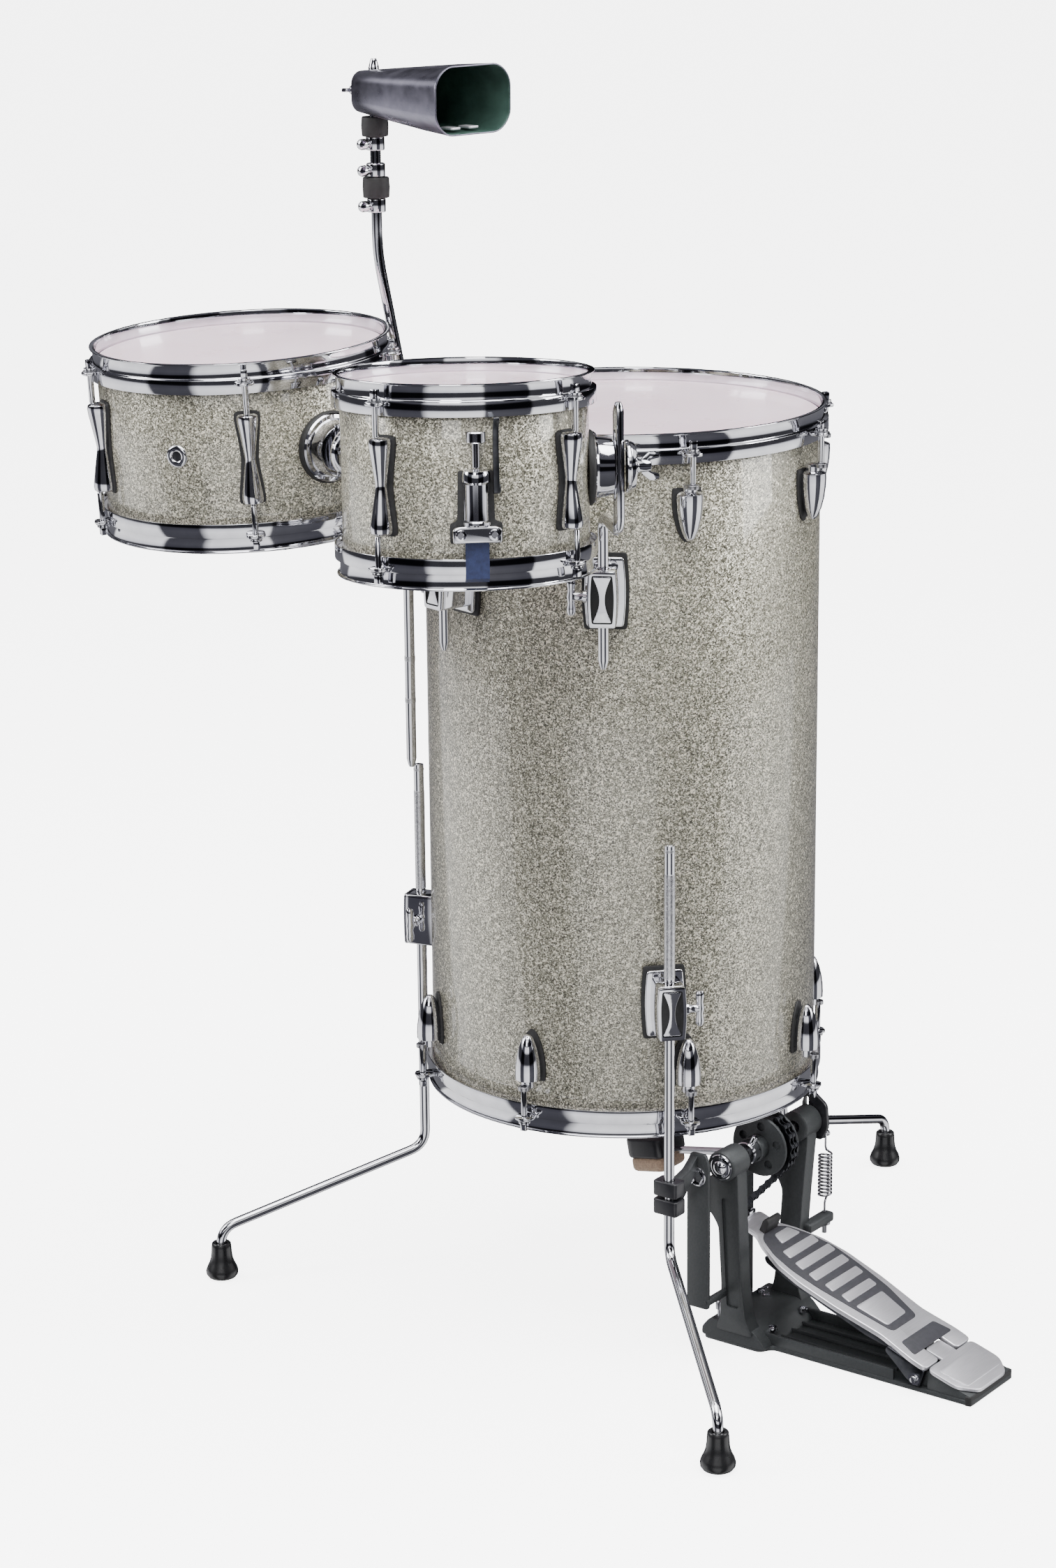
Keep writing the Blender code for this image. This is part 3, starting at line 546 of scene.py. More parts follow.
def spindle(name, start, end, profile, steps=32):
    """A turned piece laid from one point towards another; heights run from the start."""
    start, end = Vector(start) * MM, Vector(end) * MM
    turn = (end - start).to_track_quat("Z", "Y").to_matrix().to_4x4()
    return settle(turned(name, profile, steps), Matrix.Translation(start) @ turn)


def stud(name, start, end, radius, steps=24, bevel=0.6):
    """A plain round pin with eased ends."""
    length, ease = (Vector(end) - Vector(start)).length, min(bevel, radius * 0.4)
    profile = [(0, 0), (radius - ease, 0), (radius, ease), (radius, length - ease), (radius - ease, length),
               (0, length)]
    return spindle(name, start, end, profile, steps)


print("sawn, block, spindle and stud are ready")

# %% [markdown]
# ## Rods
# A rod is a curve with a round bevel. Its points are swept through each bend, and where it has
# tapered tips the curve's own radius shrinks. Converting it gives an ordinary mesh.

# %% Rods and places round a drum
def bent_route(points, bend):
    """The points of a rod with each corner swept through a smooth bend."""
    path = [Vector(point) for point in points]
    route = [path[0]]
    for before, corner, after in zip(path, path[1:], path[2:]):
        back, on = (before - corner).normalized() * bend, (after - corner).normalized() * bend
        route += [corner + back * (1 - t) ** 2 + on * t ** 2 for t in (i / 8 for i in range(9))]
    return route + [path[-1]]


def rod(name, route, radius, tips=0.0, round_steps=6):
    """A round bar along a route; `tips` is how long its two tapered ends are."""
    bpy.ops.object.select_all(action="DESELECT")
    bpy.ops.curve.primitive_nurbs_path_add()
    piece = bpy.context.object
    piece.name = name
    points = [(point, 1.0) for point in route]
    if tips:
        for _ in range(2):
            end, near = points[0][0], points[1][0]
            along = (near - end).normalized()
            points = [(end, 0.5), (end + along * tips * 0.25, 0.7), (end + along * tips, 1.0)] + points[1:]
            points.reverse()
    curve = piece.data
    curve.splines.clear()
    curve.dimensions = "3D"
    line = curve.splines.new("POLY")
    line.points.add(len(points) - 1)
    for spot, (place, size) in zip(line.points, points):
        spot.co, spot.radius = (*(place * MM), 1), size
    curve.bevel_depth, curve.bevel_resolution, curve.use_fill_caps = radius * MM, round_steps, True
    bpy.ops.object.convert(target="MESH")
    return clean(bpy.context.object)


def around(angle, radius):
    """The point at an angle from -Y towards +X, and a radius, round a drum's axis."""
    return Vector((sin(radians(angle)) * radius, -cos(radians(angle)) * radius, 0))


def turn_z(angle):
    return Matrix.Rotation(radians(angle), 4, "Z")


print("rods are ready")

# %% [markdown]
# ## Where the drums are
# The frame gives every place.

# %% Drum frames
low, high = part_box("floor_top_hoop")
KIT = Matrix.Translation(((low.x + high.x) / 2, (low.y + high.y) / 2, 0))
FLOOR_R, FLOOR_DEPTH, FLOOR_MIDDLE = 178.0, 610.0, 533.0
TOM_DEPTH = 140.0


def facing(origin, x_axis, z_axis):
    """The frame with an origin in metres and the given X and Z directions."""
    x_axis, z_axis = Vector(x_axis).normalized(), Vector(z_axis).normalized()
    turn = Matrix((x_axis, z_axis.cross(x_axis), z_axis)).transposed()
    return Matrix.Translation(Vector(origin)) @ turn.to_4x4()


def tom_frame(side, radius):
    """A tom's frame: Z is its axis, and its mount faces -Y."""
    tilt, up = JOINTS[side + "_tom_tilt"], Vector(JOINTS[side + "_tom_swivel"]["axis"])
    mount = Vector(tilt["axis"])
    return facing(Vector(tilt["pos_m"]) - mount * radius * MM, up.cross(mount), up)


LEFT_R, RIGHT_R = 127.0, 101.6
FLOOR_FRAME = KIT @ Matrix.Translation((0, 0, FLOOR_MIDDLE * MM))
LEFT_FRAME, RIGHT_FRAME = tom_frame("left", LEFT_R), tom_frame("right", RIGHT_R)
FLOOR_LUG_ANGLES = [-37 + 45 * i for i in range(8)]
LEFT_LUG_ANGLES = [-48 + 15 + 72 * i for i in range(5)]
RIGHT_LUG_ANGLES = [-1 - 42 + 90 * i for i in range(4)]
print("toms at", [round(v, 3) for v in LEFT_FRAME.translation],
      [round(v, 3) for v in RIGHT_FRAME.translation])

# %% [markdown]
# ## Shells, hoops and heads
# All three are round, so they are turned: a shell with two bearing edges, a triple-flanged steel
# hoop that is a thin bent strip in section, a flesh hoop and a film that hangs over the edge.


# %% Shells and heads
def drum_shell(name, radius, depth, steps):
    half = depth / 2
    profile = [(radius - 7, -half + 2.5), (radius - 3.2, -half), (radius - 0.6, -half + 2.2),
               (radius, -half + 3), (radius, half - 3), (radius - 0.6, half - 2.2), (radius - 3.2, half),
               (radius - 7, half - 2.5)]
    return turned(name, profile, steps, closed=True)


def drum_head(name, radius, edge, up, steps):
    """The film with its moulded collar, and the flesh hoop that it hangs from."""
    film = [(0, 1.2), (radius - 14, 1.15), (radius - 4, 0.95), (radius - 0.8, 0.6), (radius + 0.4, -0.6),
            (radius + 0.6, -2.9), (radius - 0.1, -2.9), (radius - 0.2, -0.8), (radius - 1.5, 0.2),
            (radius - 14, 0.55), (0, 0.6)]
    ring = [(radius + 0.8, -2.9), (radius + 4.9, -2.9), (radius + 4.9, -8.8), (radius + 0.8, -8.8)]
    skin = turned(name, [(r, edge + up * z) for r, z in film], steps)
    flesh = turned(name + "_flesh_hoop", [(r, edge + up * z) for r, z in smooth_corners(ring, 1)], steps,
                   closed=True)
    return skin, flesh


def drum_hoop(name, radius, edge, up, steps):
    """A bent steel strip: it turns in below the head, stands up, and rolls over at the rim."""
    strip = [(1.2, -2.4), (5.3, -2.4), (5.5, -13.8), (6.9, -13.8), (6.9, -1.0), (2.7, -1.0), (2.7, 10.7),
             (5.3, 10.8), (5.3, 12.3), (1.2, 12.3)]
    outline = smooth_corners(strip, 1.1, steps=2)
    return turned(name, [(radius + r, edge + up * z) for r, z in outline], steps, closed=True)


print("shell, head and hoop are ready")


# %% Three covered drums
def covered(frame_name, place, radius, depth, steps, body, nodes):
    """A drum's shell, two hoops and two heads, dressed and set in place."""
    shell_node, top_hoop, bottom_hoop, top_head, bottom_head = nodes
    shell = settle(drum_shell(frame_name + "_wrapped_shell", radius, depth, steps), place)
    dress(shell, SPARKLE, body, shell_node)
    for label, up, hoop_node, head_node in (("top", 1, top_hoop, top_head),
                                            ("bottom", -1, bottom_hoop, bottom_head)):
        hoop = settle(drum_hoop(f"{frame_name}_{label}_rim", radius, up * depth / 2, up, steps), place)
        dress(hoop, CHROME, body, hoop_node)
        skin, flesh = drum_head(f"{frame_name}_{label}_film", radius, up * depth / 2, up, steps)
        dress(settle(skin, place), FILM, body, head_node)
        dress(settle(flesh, place), BRUSHED, body)
    print(frame_name, "drum:", len(shell.data.polygons), "faces in its shell")


covered("floor", FLOOR_FRAME, FLOOR_R, FLOOR_DEPTH, 128, "floor_drum",
        ("floor_shell", "floor_top_hoop", "floor_bottom_hoop", "floor_batter_head", "floor_kick_head"))
covered("left_tom", LEFT_FRAME, LEFT_R, TOM_DEPTH, 112, "left_tom",
        ("left_tom_shell", "left_tom_top_hoop", "left_tom_bottom_hoop", "left_tom_batter_head",
         "left_resonant_head"))
covered("right_tom", RIGHT_FRAME, RIGHT_R, TOM_DEPTH, 96, "right_tom",
        ("right_tom_shell", "right_tom_top_hoop", "right_tom_bottom_hoop", "right_tom_batter_head",
         "right_snare_head"))

# %% [markdown]
# ## Tension rods and claws
# At every lug a square-headed rod drops through an ear on the hoop, over a washer, into the lug.
# One of each is modelled facing -Y and copied round the drum.


# %% Rods and ears
def tension_set(label, radius, edge, up, reach, angles, place, body):
    """Ears, washers and square-headed rods at one edge of a drum."""
    out = radius + reach
    tongue = mirrored([(7, -radius - 6.4), (8.6, -out + 2), (7, -out - 5), (3, -out - 6.8)])
    low, high = sorted((edge - up * 5.5, edge - up * 2.6))
    ear = sawn(f"{label}_ear", tongue, low, high, "Z", 0.9)
    washer = [(3.2, 0), (6.2, 0), (6.2, 0.9), (4.6, 1.5), (3.2, 1.5)]
    ring = turned(f"{label}_washer", [(r, edge + up * (z - 2.6)) for r, z in washer], 20, closed=True)
    settle(ring, Matrix.Translation((0, -out * MM, 0)))
    stem = [(0, -30.6), (2.1, -30.6), (2.7, -29.6), (2.7, -1.2), (5.0, -1.1), (5.2, -0.6), (5.2, 0.7),
            (2.8, 1.2), (0, 1.3)]
    screw = turned(f"{label}_tension_rod", [(r, edge + up * z) for r, z in stem], 16)
    settle(screw, Matrix.Translation((0, -out * MM, 0)))
    low, high = sorted((edge + up * 0.8, edge + up * 7.8))
    head = block(f"{label}_rod_head", (-2.9, -out - 2.9, low), (2.9, -out + 2.9, high), 0.7)
    screw = joined(screw, head)
    places = [place @ turn_z(angle) for angle in angles]
    for piece, finish in ((ear, CHROME), (ring, STEEL), (screw, CHROME)):
        dress(at_places(piece, places), finish, body)
    print(label, "tension set of", len(places))


for label, edge, up in (("floor_top", FLOOR_DEPTH / 2, 1), ("floor_bottom", -FLOOR_DEPTH / 2, -1)):
    tension_set(label, FLOOR_R, edge, up, 17.0, FLOOR_LUG_ANGLES, FLOOR_FRAME, "floor_drum")
for side, radius, angles, place in (("left", LEFT_R, LEFT_LUG_ANGLES, LEFT_FRAME),
                                    ("right", RIGHT_R, RIGHT_LUG_ANGLES, RIGHT_FRAME)):
    for label, edge, up in (("top", TOM_DEPTH / 2, 1), ("bottom", -TOM_DEPTH / 2, -1)):
        tension_set(f"{side}_tom_{label}", radius, edge, up, 11.5, angles, place, side + "_tom")

# %% [markdown]
# ## Bullet lugs
# The floor drum's lugs are bullets cut in half along their length, on black gaskets. Each starts
# as a turned piece, and Bisect cuts away the half that would be inside the shell.


# %% Bullet lugs
def halved(piece, depth):
    """Cuts a piece with an upright plane and keeps what stands out of the shell."""
    edit(piece)
    bpy.ops.mesh.bisect(plane_co=(0, -depth * MM, 0), plane_no=(0, 1, 0), use_fill=True, clear_outer=True)
    bpy.ops.object.mode_set(mode="OBJECT")
    return clean(piece)


def oval(wide, low, high, steps=20):
    """An upright capsule as (x, z) points."""
    tall = (high - low) / 2 - wide
    points = []
    for i in range(steps * 2):
        angle = pi * i / steps
        lift = tall if sin(angle) >= 0 else -tall
        points.append((cos(angle) * wide, (low + high) / 2 + lift + sin(angle) * wide))
    return points


def lug_pad(low, high, up):
    """A shield outline round a bullet lug: square at its mouth, pointed at its tip."""
    half = [(12.6, -1.6), (13.4, 4), (13.2, 14), (11.8, 24), (9, 34), (5, 42.4), (1.6, 45.6)]
    mouth = low if up < 0 else high
    return mirrored([(x, mouth - up * z) for x, z in half])


def floor_lugs(edge, up, label):
    out = FLOOR_R + 17.0
    bullet = [(0, -30.8), (5.4, -30.8), (6.2, -31.4), (6.4, -33), (6.2, -37), (9.4, -38), (11.4, -39.2),
              (11.6, -44), (11.2, -52), (10, -61), (7.8, -70), (5, -77), (2.6, -80), (0, -80.6)]
    body = turned(f"{label}_bullet_lug", [(r, edge + up * z) for r, z in bullet], 40)
    settle(body, Matrix.Translation((0, (-FLOOR_R - 9.2) * MM, 0)) @ Matrix.Diagonal((1, 1.05, 1, 1)))
    halved(body, FLOOR_R + 1.2)
    low, high = sorted((edge - up * 37, edge - up * 80.6))
    pad = sawn(f"{label}_lug_gasket", lug_pad(low, high, up), -FLOOR_R - 1.9, -FLOOR_R + 0.9, "Y", 0.6)
    mouth = [(2.9, -30.4), (5.4, -30.4), (5.4, -34), (2.9, -34)]
    nut = turned(f"{label}_swivel_nut", [(r, edge + up * z) for r, z in smooth_corners(mouth, 0.5)], 24,
                 closed=True)
    settle(nut, Matrix.Translation((0, -out * MM, 0)))
    places = [FLOOR_FRAME @ turn_z(angle) for angle in FLOOR_LUG_ANGLES]
    dress(at_places(body, places), CHROME, "floor_drum")
    dress(at_places(pad, places), RUBBER, "floor_drum")
    dress(at_places(nut, places), STEEL, "floor_drum")
    print(label, "bullet lugs:", len(places))


floor_lugs(FLOOR_DEPTH / 2, 1, "upper")
floor_lugs(-FLOOR_DEPTH / 2, -1, "lower")


# %% [markdown]
# ## Waisted lugs
# The toms' lugs are double ended, with a narrow waist. One half of the profile is written down
# and its mirror image gives the other end.

# %% Waisted lugs
def tom_lugs(side, radius, angles, place):
    """Double-ended lugs with a waist, each on an hourglass gasket."""
    half = [(0, 39), (4.6, 39), (7.6, 38.6), (8.9, 37.4), (9.3, 34.5), (8.9, 30), (7.4, 20), (5.9, 10),
            (4.9, 3), (4.7, 0.6)]
    profile = half + [(r, -z) for r, z in reversed(half)]
    body = settle(turned(f"{side}_waisted_lug", profile, 40),
                  Matrix.Translation((0, (-radius - 5.4) * MM, 0)) @ Matrix.Diagonal((1, 1.2, 1, 1)))
    halved(body, radius + 1.0)
    side_line = [(0, 40.6), (8, 40.4), (11, 38.6), (11.4, 34), (10.2, 24), (8.6, 12), (7.6, 0)]
    right = side_line + [(x, -z) for x, z in reversed(side_line[:-1])]
    outline = mirrored(right)
    pad = sawn(f"{side}_waisted_gasket", outline, -radius - 1.6, -radius + 1, "Y", 0.5)
    places = [place @ turn_z(angle) for angle in angles]
    dress(at_places(body, places), CHROME, side + "_tom")
    dress(at_places(pad, places), RUBBER, side + "_tom")
    print(side, "tom lugs:", len(places))


tom_lugs("left", LEFT_R, LEFT_LUG_ANGLES, LEFT_FRAME)
tom_lugs("right", RIGHT_R, RIGHT_LUG_ANGLES, RIGHT_FRAME)

# %% [markdown]
# ## Vent grommets
# A drum breathes through a small hole in its shell, lined with a chrome grommet. It is a turned
# ring with a rolled lip, laid against the shell.


# %% Grommets
def grommet(name, radius, angle, height, place, body):
    lip = [(4.2, -1.2), (4.2, 1.2), (6, 2.1), (8.4, 1.9), (9.8, 0.7), (10, -0.6), (8, -1.2)]
    ring = settle(turned(name, lip, 36, closed=True, corner=0.8), Matrix.Rotation(pi / 2, 4, "X"))
    settle(ring, place @ turn_z(angle) @ Matrix.Translation((0, (-radius - 0.4) * MM, height * MM)))
    hole = spindle(name + "_hole", (0, -radius + 0.5, height), (0, -radius - 1.0, height),
                   [(0, 0), (4.6, 0), (4.6, 0.8), (3.4, 1.2), (0, 1.2)], 24)
    dress(ring, CHROME, body)
    dress(settle(hole, place @ turn_z(angle)), PLASTIC, body)


grommet("left_tom_vent", LEFT_R, -77 + 15, 2, LEFT_FRAME, "left_tom")
grommet("right_tom_vent", RIGHT_R, 130, 0, RIGHT_FRAME, "right_tom")
grommet("floor_vent", FLOOR_R, 120, 0, FLOOR_FRAME, "floor_drum")
print("three vent grommets")

# %% [markdown]
# ## Brackets
# Six brackets hold the rods: a barrel-shaped gasket, a chrome plate with a rim, and a block with
# a waist, bored for the rod. The joint of each bracket's screw gives its frame: X is the
# screw's axis, and the drum is 26 mm behind the rod. A Boolean bores it and opens its face.

# %% Brackets
SCREW_SIDES = {"front_leg": 1, "left_leg": 1, "right_leg": 1, "right_arm": -1, "left_arm": -1,
               "bell_arm": -1}
SCREW_JOINTS = {name: ("bell_rod" if name == "bell_arm" else name) + "_screw_turn" for name in SCREW_SIDES}
BRACKET_FRAMES = {name: facing(JOINTS[joint]["pos_m"], JOINTS[joint]["axis"], (0, 0, 1)) for name,
                  joint in SCREW_JOINTS.items()}


def barrel(wide, tall, bulge):
    """An upright barrel outline: (x, z) points with bowed sides."""
    side = [(wide + bulge * cos(pi * t / 10), tall * t / 5) for t in range(-5, 6)]
    return smooth_corners(side + [(-x, -z) for x, z in side], 3)


def hourglass(wide, waist, tall):
    side = [(wide - (wide - waist) * cos(pi * t / 12), tall * t / 6) for t in range(-6, 7)]
    return smooth_corners(side + [(-x, -z) for x, z in side], 2.5)


def make_bracket():
    """One bracket round the rod at the origin; the shell is at Y = 26."""
    pad = sawn("bracket_gasket", barrel(18.5, 33.6, 2.0), 22.4, 25.6, "Y", 0.8)
    plate = sawn("bracket_plate", barrel(16, 30.5, 2.0), 18.2, 22.8, "Y", 1.4, 3)
    body = sawn("bracket_block", barrel(11.6, 24.6, 1.4), -9.4, 19, "Y", 1.2, 3)
    cut(body, stud("bore", (0, 0, -40), (0, 0, 40), 5.25, 32))
    rim = sawn("bracket_face_rim", barrel(11.6, 24.6, 1.4), -13, -9.2, "Y", 0.9)
    cut(rim, sawn("window", barrel(8.8, 21, 1.2), -20, -4, "Y"))
    recess = sawn("bracket_recess", barrel(9.2, 21.4, 1.2), -10.2, -8.8, "Y", 0.2)
    relief = sawn("bracket_relief", hourglass(8.2, 2.4, 20), -12.6, -9.8, "Y", 1.3, 3)
    return pad, plate, body, rim, recess, relief


BRACKET_FINISHES = (RUBBER, CHROME, CHROME, CHROME, RUBBER, CHROME)
made = [at_places(piece, list(BRACKET_FRAMES.values())) for piece in make_bracket()]
for copies, finish in zip(made, BRACKET_FINISHES):
    dress(copies, finish, "floor_drum")
for block_copy, name in zip(made[2], BRACKET_FRAMES):
    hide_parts(name + "_bracket")
print("brackets:", len(made[0]), "copies of", len(made), "pieces")


# %% [markdown]
# ## T-bar screws
# A screw with a cross bar closes each bracket by hand. Stem and bar are both turned pieces,
# laid along their own axes and joined, because they move as one.

# %% T-bar screws
def t_screw(side):
    """A screw along X from the rod outwards, with a rounded cross bar at its end."""
    stem = spindle("t_screw", (side * 5.8, 0, 0), (side * 26, 0, 0),
                   [(0, 0), (2.6, 0), (3.1, 0.8), (3.1, 8), (5.2, 8.4), (5.2, 11), (4, 12.5), (3.6, 18),
                    (4.6, 20), (0, 20.2)], 28)
    bar = spindle("t_bar", (side * 27.4, 0, -16.6), (side * 27.4, 0, 16.6),
                  [(0, 0), (2.6, 0.5), (3.7, 2.4), (3.9, 6), (3.0, 11), (4.1, 16.6), (3.0, 22.2),
                   (3.9, 27.2), (3.7, 30.8), (2.6, 32.7), (0, 33.2)], 24)
    return joined(stem, bar)


for name, side in SCREW_SIDES.items():
    screw = settle(t_screw(side), BRACKET_FRAMES[name])
    screw.name = name + "_t_screw"
    node = "bell_rod_screw" if name == "bell_arm" else name + "_screw"
    dress(screw, CHROME, node, node)
print("T-bar screws:", len(SCREW_SIDES))

# %% [markdown]
# ## Legs and feet
# A leg is a 9.5 mm rod: straight up through its bracket with a knurled grip zone, splayed out,
# and bent down again into a bell-shaped rubber foot.

# %% Legs
LEG_SPLAY = {"front": -44, "left": -127, "right": 91}
LEG_TOP, LEG_BEND, LEG_KNEE, LEG_OUT = 489.0, 112.0, 50.0, 204.0
ROD_R, GRIP_LOW = 4.75, 372.0


def leg(side):
    top = BRACKET_FRAMES[side + "_leg"].translation / MM
    out = around(LEG_SPLAY[side], LEG_OUT)
    foot = Vector((top.x + out.x, top.y + out.y, 0))
    knee = Vector((foot.x, foot.y, LEG_KNEE))
    points = [Vector((top.x, top.y, LEG_TOP + 4.5)), Vector((top.x, top.y, LEG_BEND)), knee,
              Vector((foot.x, foot.y, 29.8))]
    bar = rod(side + "_leg_rod", bent_route(points, 16), ROD_R)
    grip = turned(side + "_leg_knurl", [(4.4, 0), (5.0, 0), (5.0, 96), (4.4, 96)], 32, closed=True,
                  corner=0.3)
    settle(grip, Matrix.Translation((top.x * MM, top.y * MM, GRIP_LOW * MM)))
    tip = turned(side + "_leg_tip", [(0, 5.4), (2.6, 5.2), (4.6, 1.6), (5.0, 0), (4.9, -1.5), (0, -1.5)],
                 28)
    settle(tip, Matrix.Translation((top.x * MM, top.y * MM, LEG_TOP * MM)))
    bell = [(0, 0), (9, 0), (13.2, 1.6), (15.2, 4.4), (15.5, 7.4), (14.4, 11.2), (12.2, 15.6), (10.6, 20.4),
            (9.9, 26), (9.6, 32), (9.2, 35), (8.4, 36), (6.4, 36), (5.4, 35.2), (5.3, 29.2), (0, 29.2)]
    rubber = turned(side + "_foot_bell", bell, 44)
    settle(rubber, Matrix.Translation((foot.x * MM, foot.y * MM, 0)))
    dress(bar, CHROME, side + "_leg", side + "_leg")
    dress([grip, tip], KNURLED, side + "_leg")
    dress(rubber, FOOT_RUBBER, side + "_leg", side + "_foot")
    print(side, "foot stands at", round(foot.x), round(foot.y))


for side in LEG_SPLAY:
    leg(side)

# %% [markdown]
# ## Arms for the toms
# Each arm rises through its bracket, turns out level, and rises again through the tom's clamp.

# %% Arms
ARM_LOW, ARM_CROSSING, ARM_TOP = 660.0, 785.0, 885.0


def arm(side, place, radius):
    low = BRACKET_FRAMES[side + "_arm"].translation / MM
    mount = Vector(JOINTS[side + "_tom_tilt"]["axis"])
    up = Vector(JOINTS[side + "_tom_swivel"]["axis"])
    high = place.translation / MM + mount * (radius + 25)
    below, above = high - Vector((up.x, up.y, 0)) * 42, high + Vector((up.x, up.y, 0)) * 58
    points = [Vector((low.x, low.y, ARM_LOW - 8)), Vector((low.x, low.y, ARM_CROSSING)),
              Vector((below.x, below.y, ARM_CROSSING)), Vector((above.x, above.y, ARM_TOP + 8))]
    bar = rod(side + "_arm_rod", bent_route(points, 14), ROD_R, tips=8.0)
    dress(bar, CHROME, side + "_arm", side + "_arm")
    print(side, "arm reaches", round((high - low).length), "mm")


arm("right", RIGHT_FRAME, RIGHT_R)
arm("left", LEFT_FRAME, LEFT_R)


# %% [markdown]
# ## Tom mounts
# A rod clamp stands on each tom: a gasket, a stepped cup, a cap that presses the rod on it, and
# a wing nut. All but the wings are turned; the wings are sawn from plate.

# %% Tom mounts
def tom_mount(side, place, radius):
    """A gasket, a stepped cup, an outer cap and a wing nut."""
    def along(name, profile, steps=56):
        return spindle(name, (0, -radius + 3, 0), (0, -radius - 30, 0), profile, steps)

    pad = along(side + "_mount_gasket", [(0, 0.5), (31, 0.5), (31.6, 2), (31.2, 5), (30, 6.2), (0, 6.2)])
    cup = along(side + "_mount_cup", [(0, 5.8), (29.4, 5.8), (29.8, 7.2), (28.6, 8.8), (25.6, 9.4),
                                      (25.2, 11), (24.4, 17), (23.4, 22.2), (21.8, 22.8), (18, 22.9),
                                      (0, 22.9)])
    dress(settle(pad, place), RUBBER, side + "_tom")
    dress(settle(cup, place), CHROME, side + "_tom")
    start = -radius - 30.3
    cap = spindle(side + "_mount_cap", (0, start, 0), (0, start - 9, 0),
                  [(0, 0), (21, 0), (21.9, 0.8), (22, 2.6), (20.8, 3.6), (20.6, 5), (19.4, 7.4), (16, 8.6),
                   (8, 8.9), (0, 8.9)], 56)
    dress(settle(cap, place), CHROME, side + "_tom_clamp", side + "_clamp_cap")
    outer = -radius - 39.5
    hub = spindle(side + "_wing_hub", (0, outer, 0), (0, outer - 13, 0),
                  [(0, 0), (6.4, 0), (6.8, 0.8), (5.6, 3), (5.2, 8), (4.6, 11.4), (3, 12.6), (0, 13)], 28)
    wing = mirrored([(2, 2), (7, 5), (12, 11), (12.3, 15.4), (9.6, 19.4), (6.6, 19), (5, 12), (2.4, 9)])
    wings = sawn(side + "_wings", [(outer - a, b) for b, a in wing], -1.6, 1.6, "X", 0.8, corner=1)
    nut = joined(hub, wings)
    dress(settle(nut, place), CHROME, side + "_wing_nut", side + "_wing_nut")
    print(side, "mount and wing nut")


tom_mount("left", LEFT_FRAME, LEFT_R)
tom_mount("right", RIGHT_FRAME, RIGHT_R)

# %% [markdown]
# ## Snare strainer
# The throw-off stands on the smaller tom: a foot with two socket bolts, a chrome drum, a stem with
# a knurled tension knob, a dark lever, and a blue strap that runs under the hoop to the wires.

# %% Strainer frame
knob_axis = Vector(JOINTS["strainer_knob_turn"]["axis"])
STRAINER_FRAME = facing(RIGHT_FRAME.translation, JOINTS["strainer_lever_throw"]["axis"], knob_axis)
OUT = RIGHT_R
print("strainer stands at", [round(v, 3) for v in STRAINER_FRAME.translation])


# %% Strainer body
def strainer():
    pad = sawn("strainer_gasket", mirrored([(21, -44), (21, -28), (15, -26), (14, 14)]), -OUT - 2.2,
               -OUT - 0.4, "Y", 0.4, corner=2)
    foot = sawn("strainer_foot", mirrored([(19.5, -42.5), (19.5, -31), (14, -29)]), -OUT - 14.5, -OUT - 2,
                "Y", 1.6, 3, corner=2)
    drum = spindle("strainer_drum", (0, -OUT - 7.6, -29), (0, -OUT - 7.6, 16),
                   [(0, 0), (10.6, 0), (11.4, 1), (11.4, 3), (9.4, 4.2), (9.2, 12), (9.4, 33), (11.4, 35),
                    (11.4, 41), (10.4, 43.6), (6, 45), (0, 45)], 40)
    back = sawn("strainer_back", mirrored([(10, -29), (10, 14)]), -OUT - 7, -OUT - 2, "Y", 0.8, corner=2)
    dress([settle(pad, STRAINER_FRAME)], RUBBER, "right_tom")
    dress([settle(drum, STRAINER_FRAME), settle(foot, STRAINER_FRAME), settle(back, STRAINER_FRAME)],
          CHROME, "right_tom", "strainer_body")
    for x in (-13.5, 13.5):
        ring = [(0, 0), (4.3, 0), (4.6, 0.6), (4.2, 2.2), (2.6, 2.4), (2.4, 0.9), (0, 0.9)]
        bolt = spindle("strainer_bolt", (x, -OUT - 14.3, -36), (x, -OUT - 17, -36), ring, 24)
        dress(settle(bolt, STRAINER_FRAME), CHROME, "right_tom")
    strap = sawn("snare_strap", [(-OUT - 9.5, -41), (-OUT - 8.7, -41), (-OUT - 8.3, -71), (-OUT + 2, -76.5),
                                 (-OUT + 8, -74.2), (-OUT + 8, -75), (-OUT + 1.5, -77.4),
                                 (-OUT - 9.2, -71.6)], -9.5, 9.5, "X")
    dress(settle(strap, STRAINER_FRAME), STRAP, "right_tom")


strainer()
print("strainer body")

# %% [markdown]
# ## Lever and knob
# The lever is one bent plate that swings on its pivot. The knob's ribs are every second face of
# its side, picked by angle and pressed in by Inset.

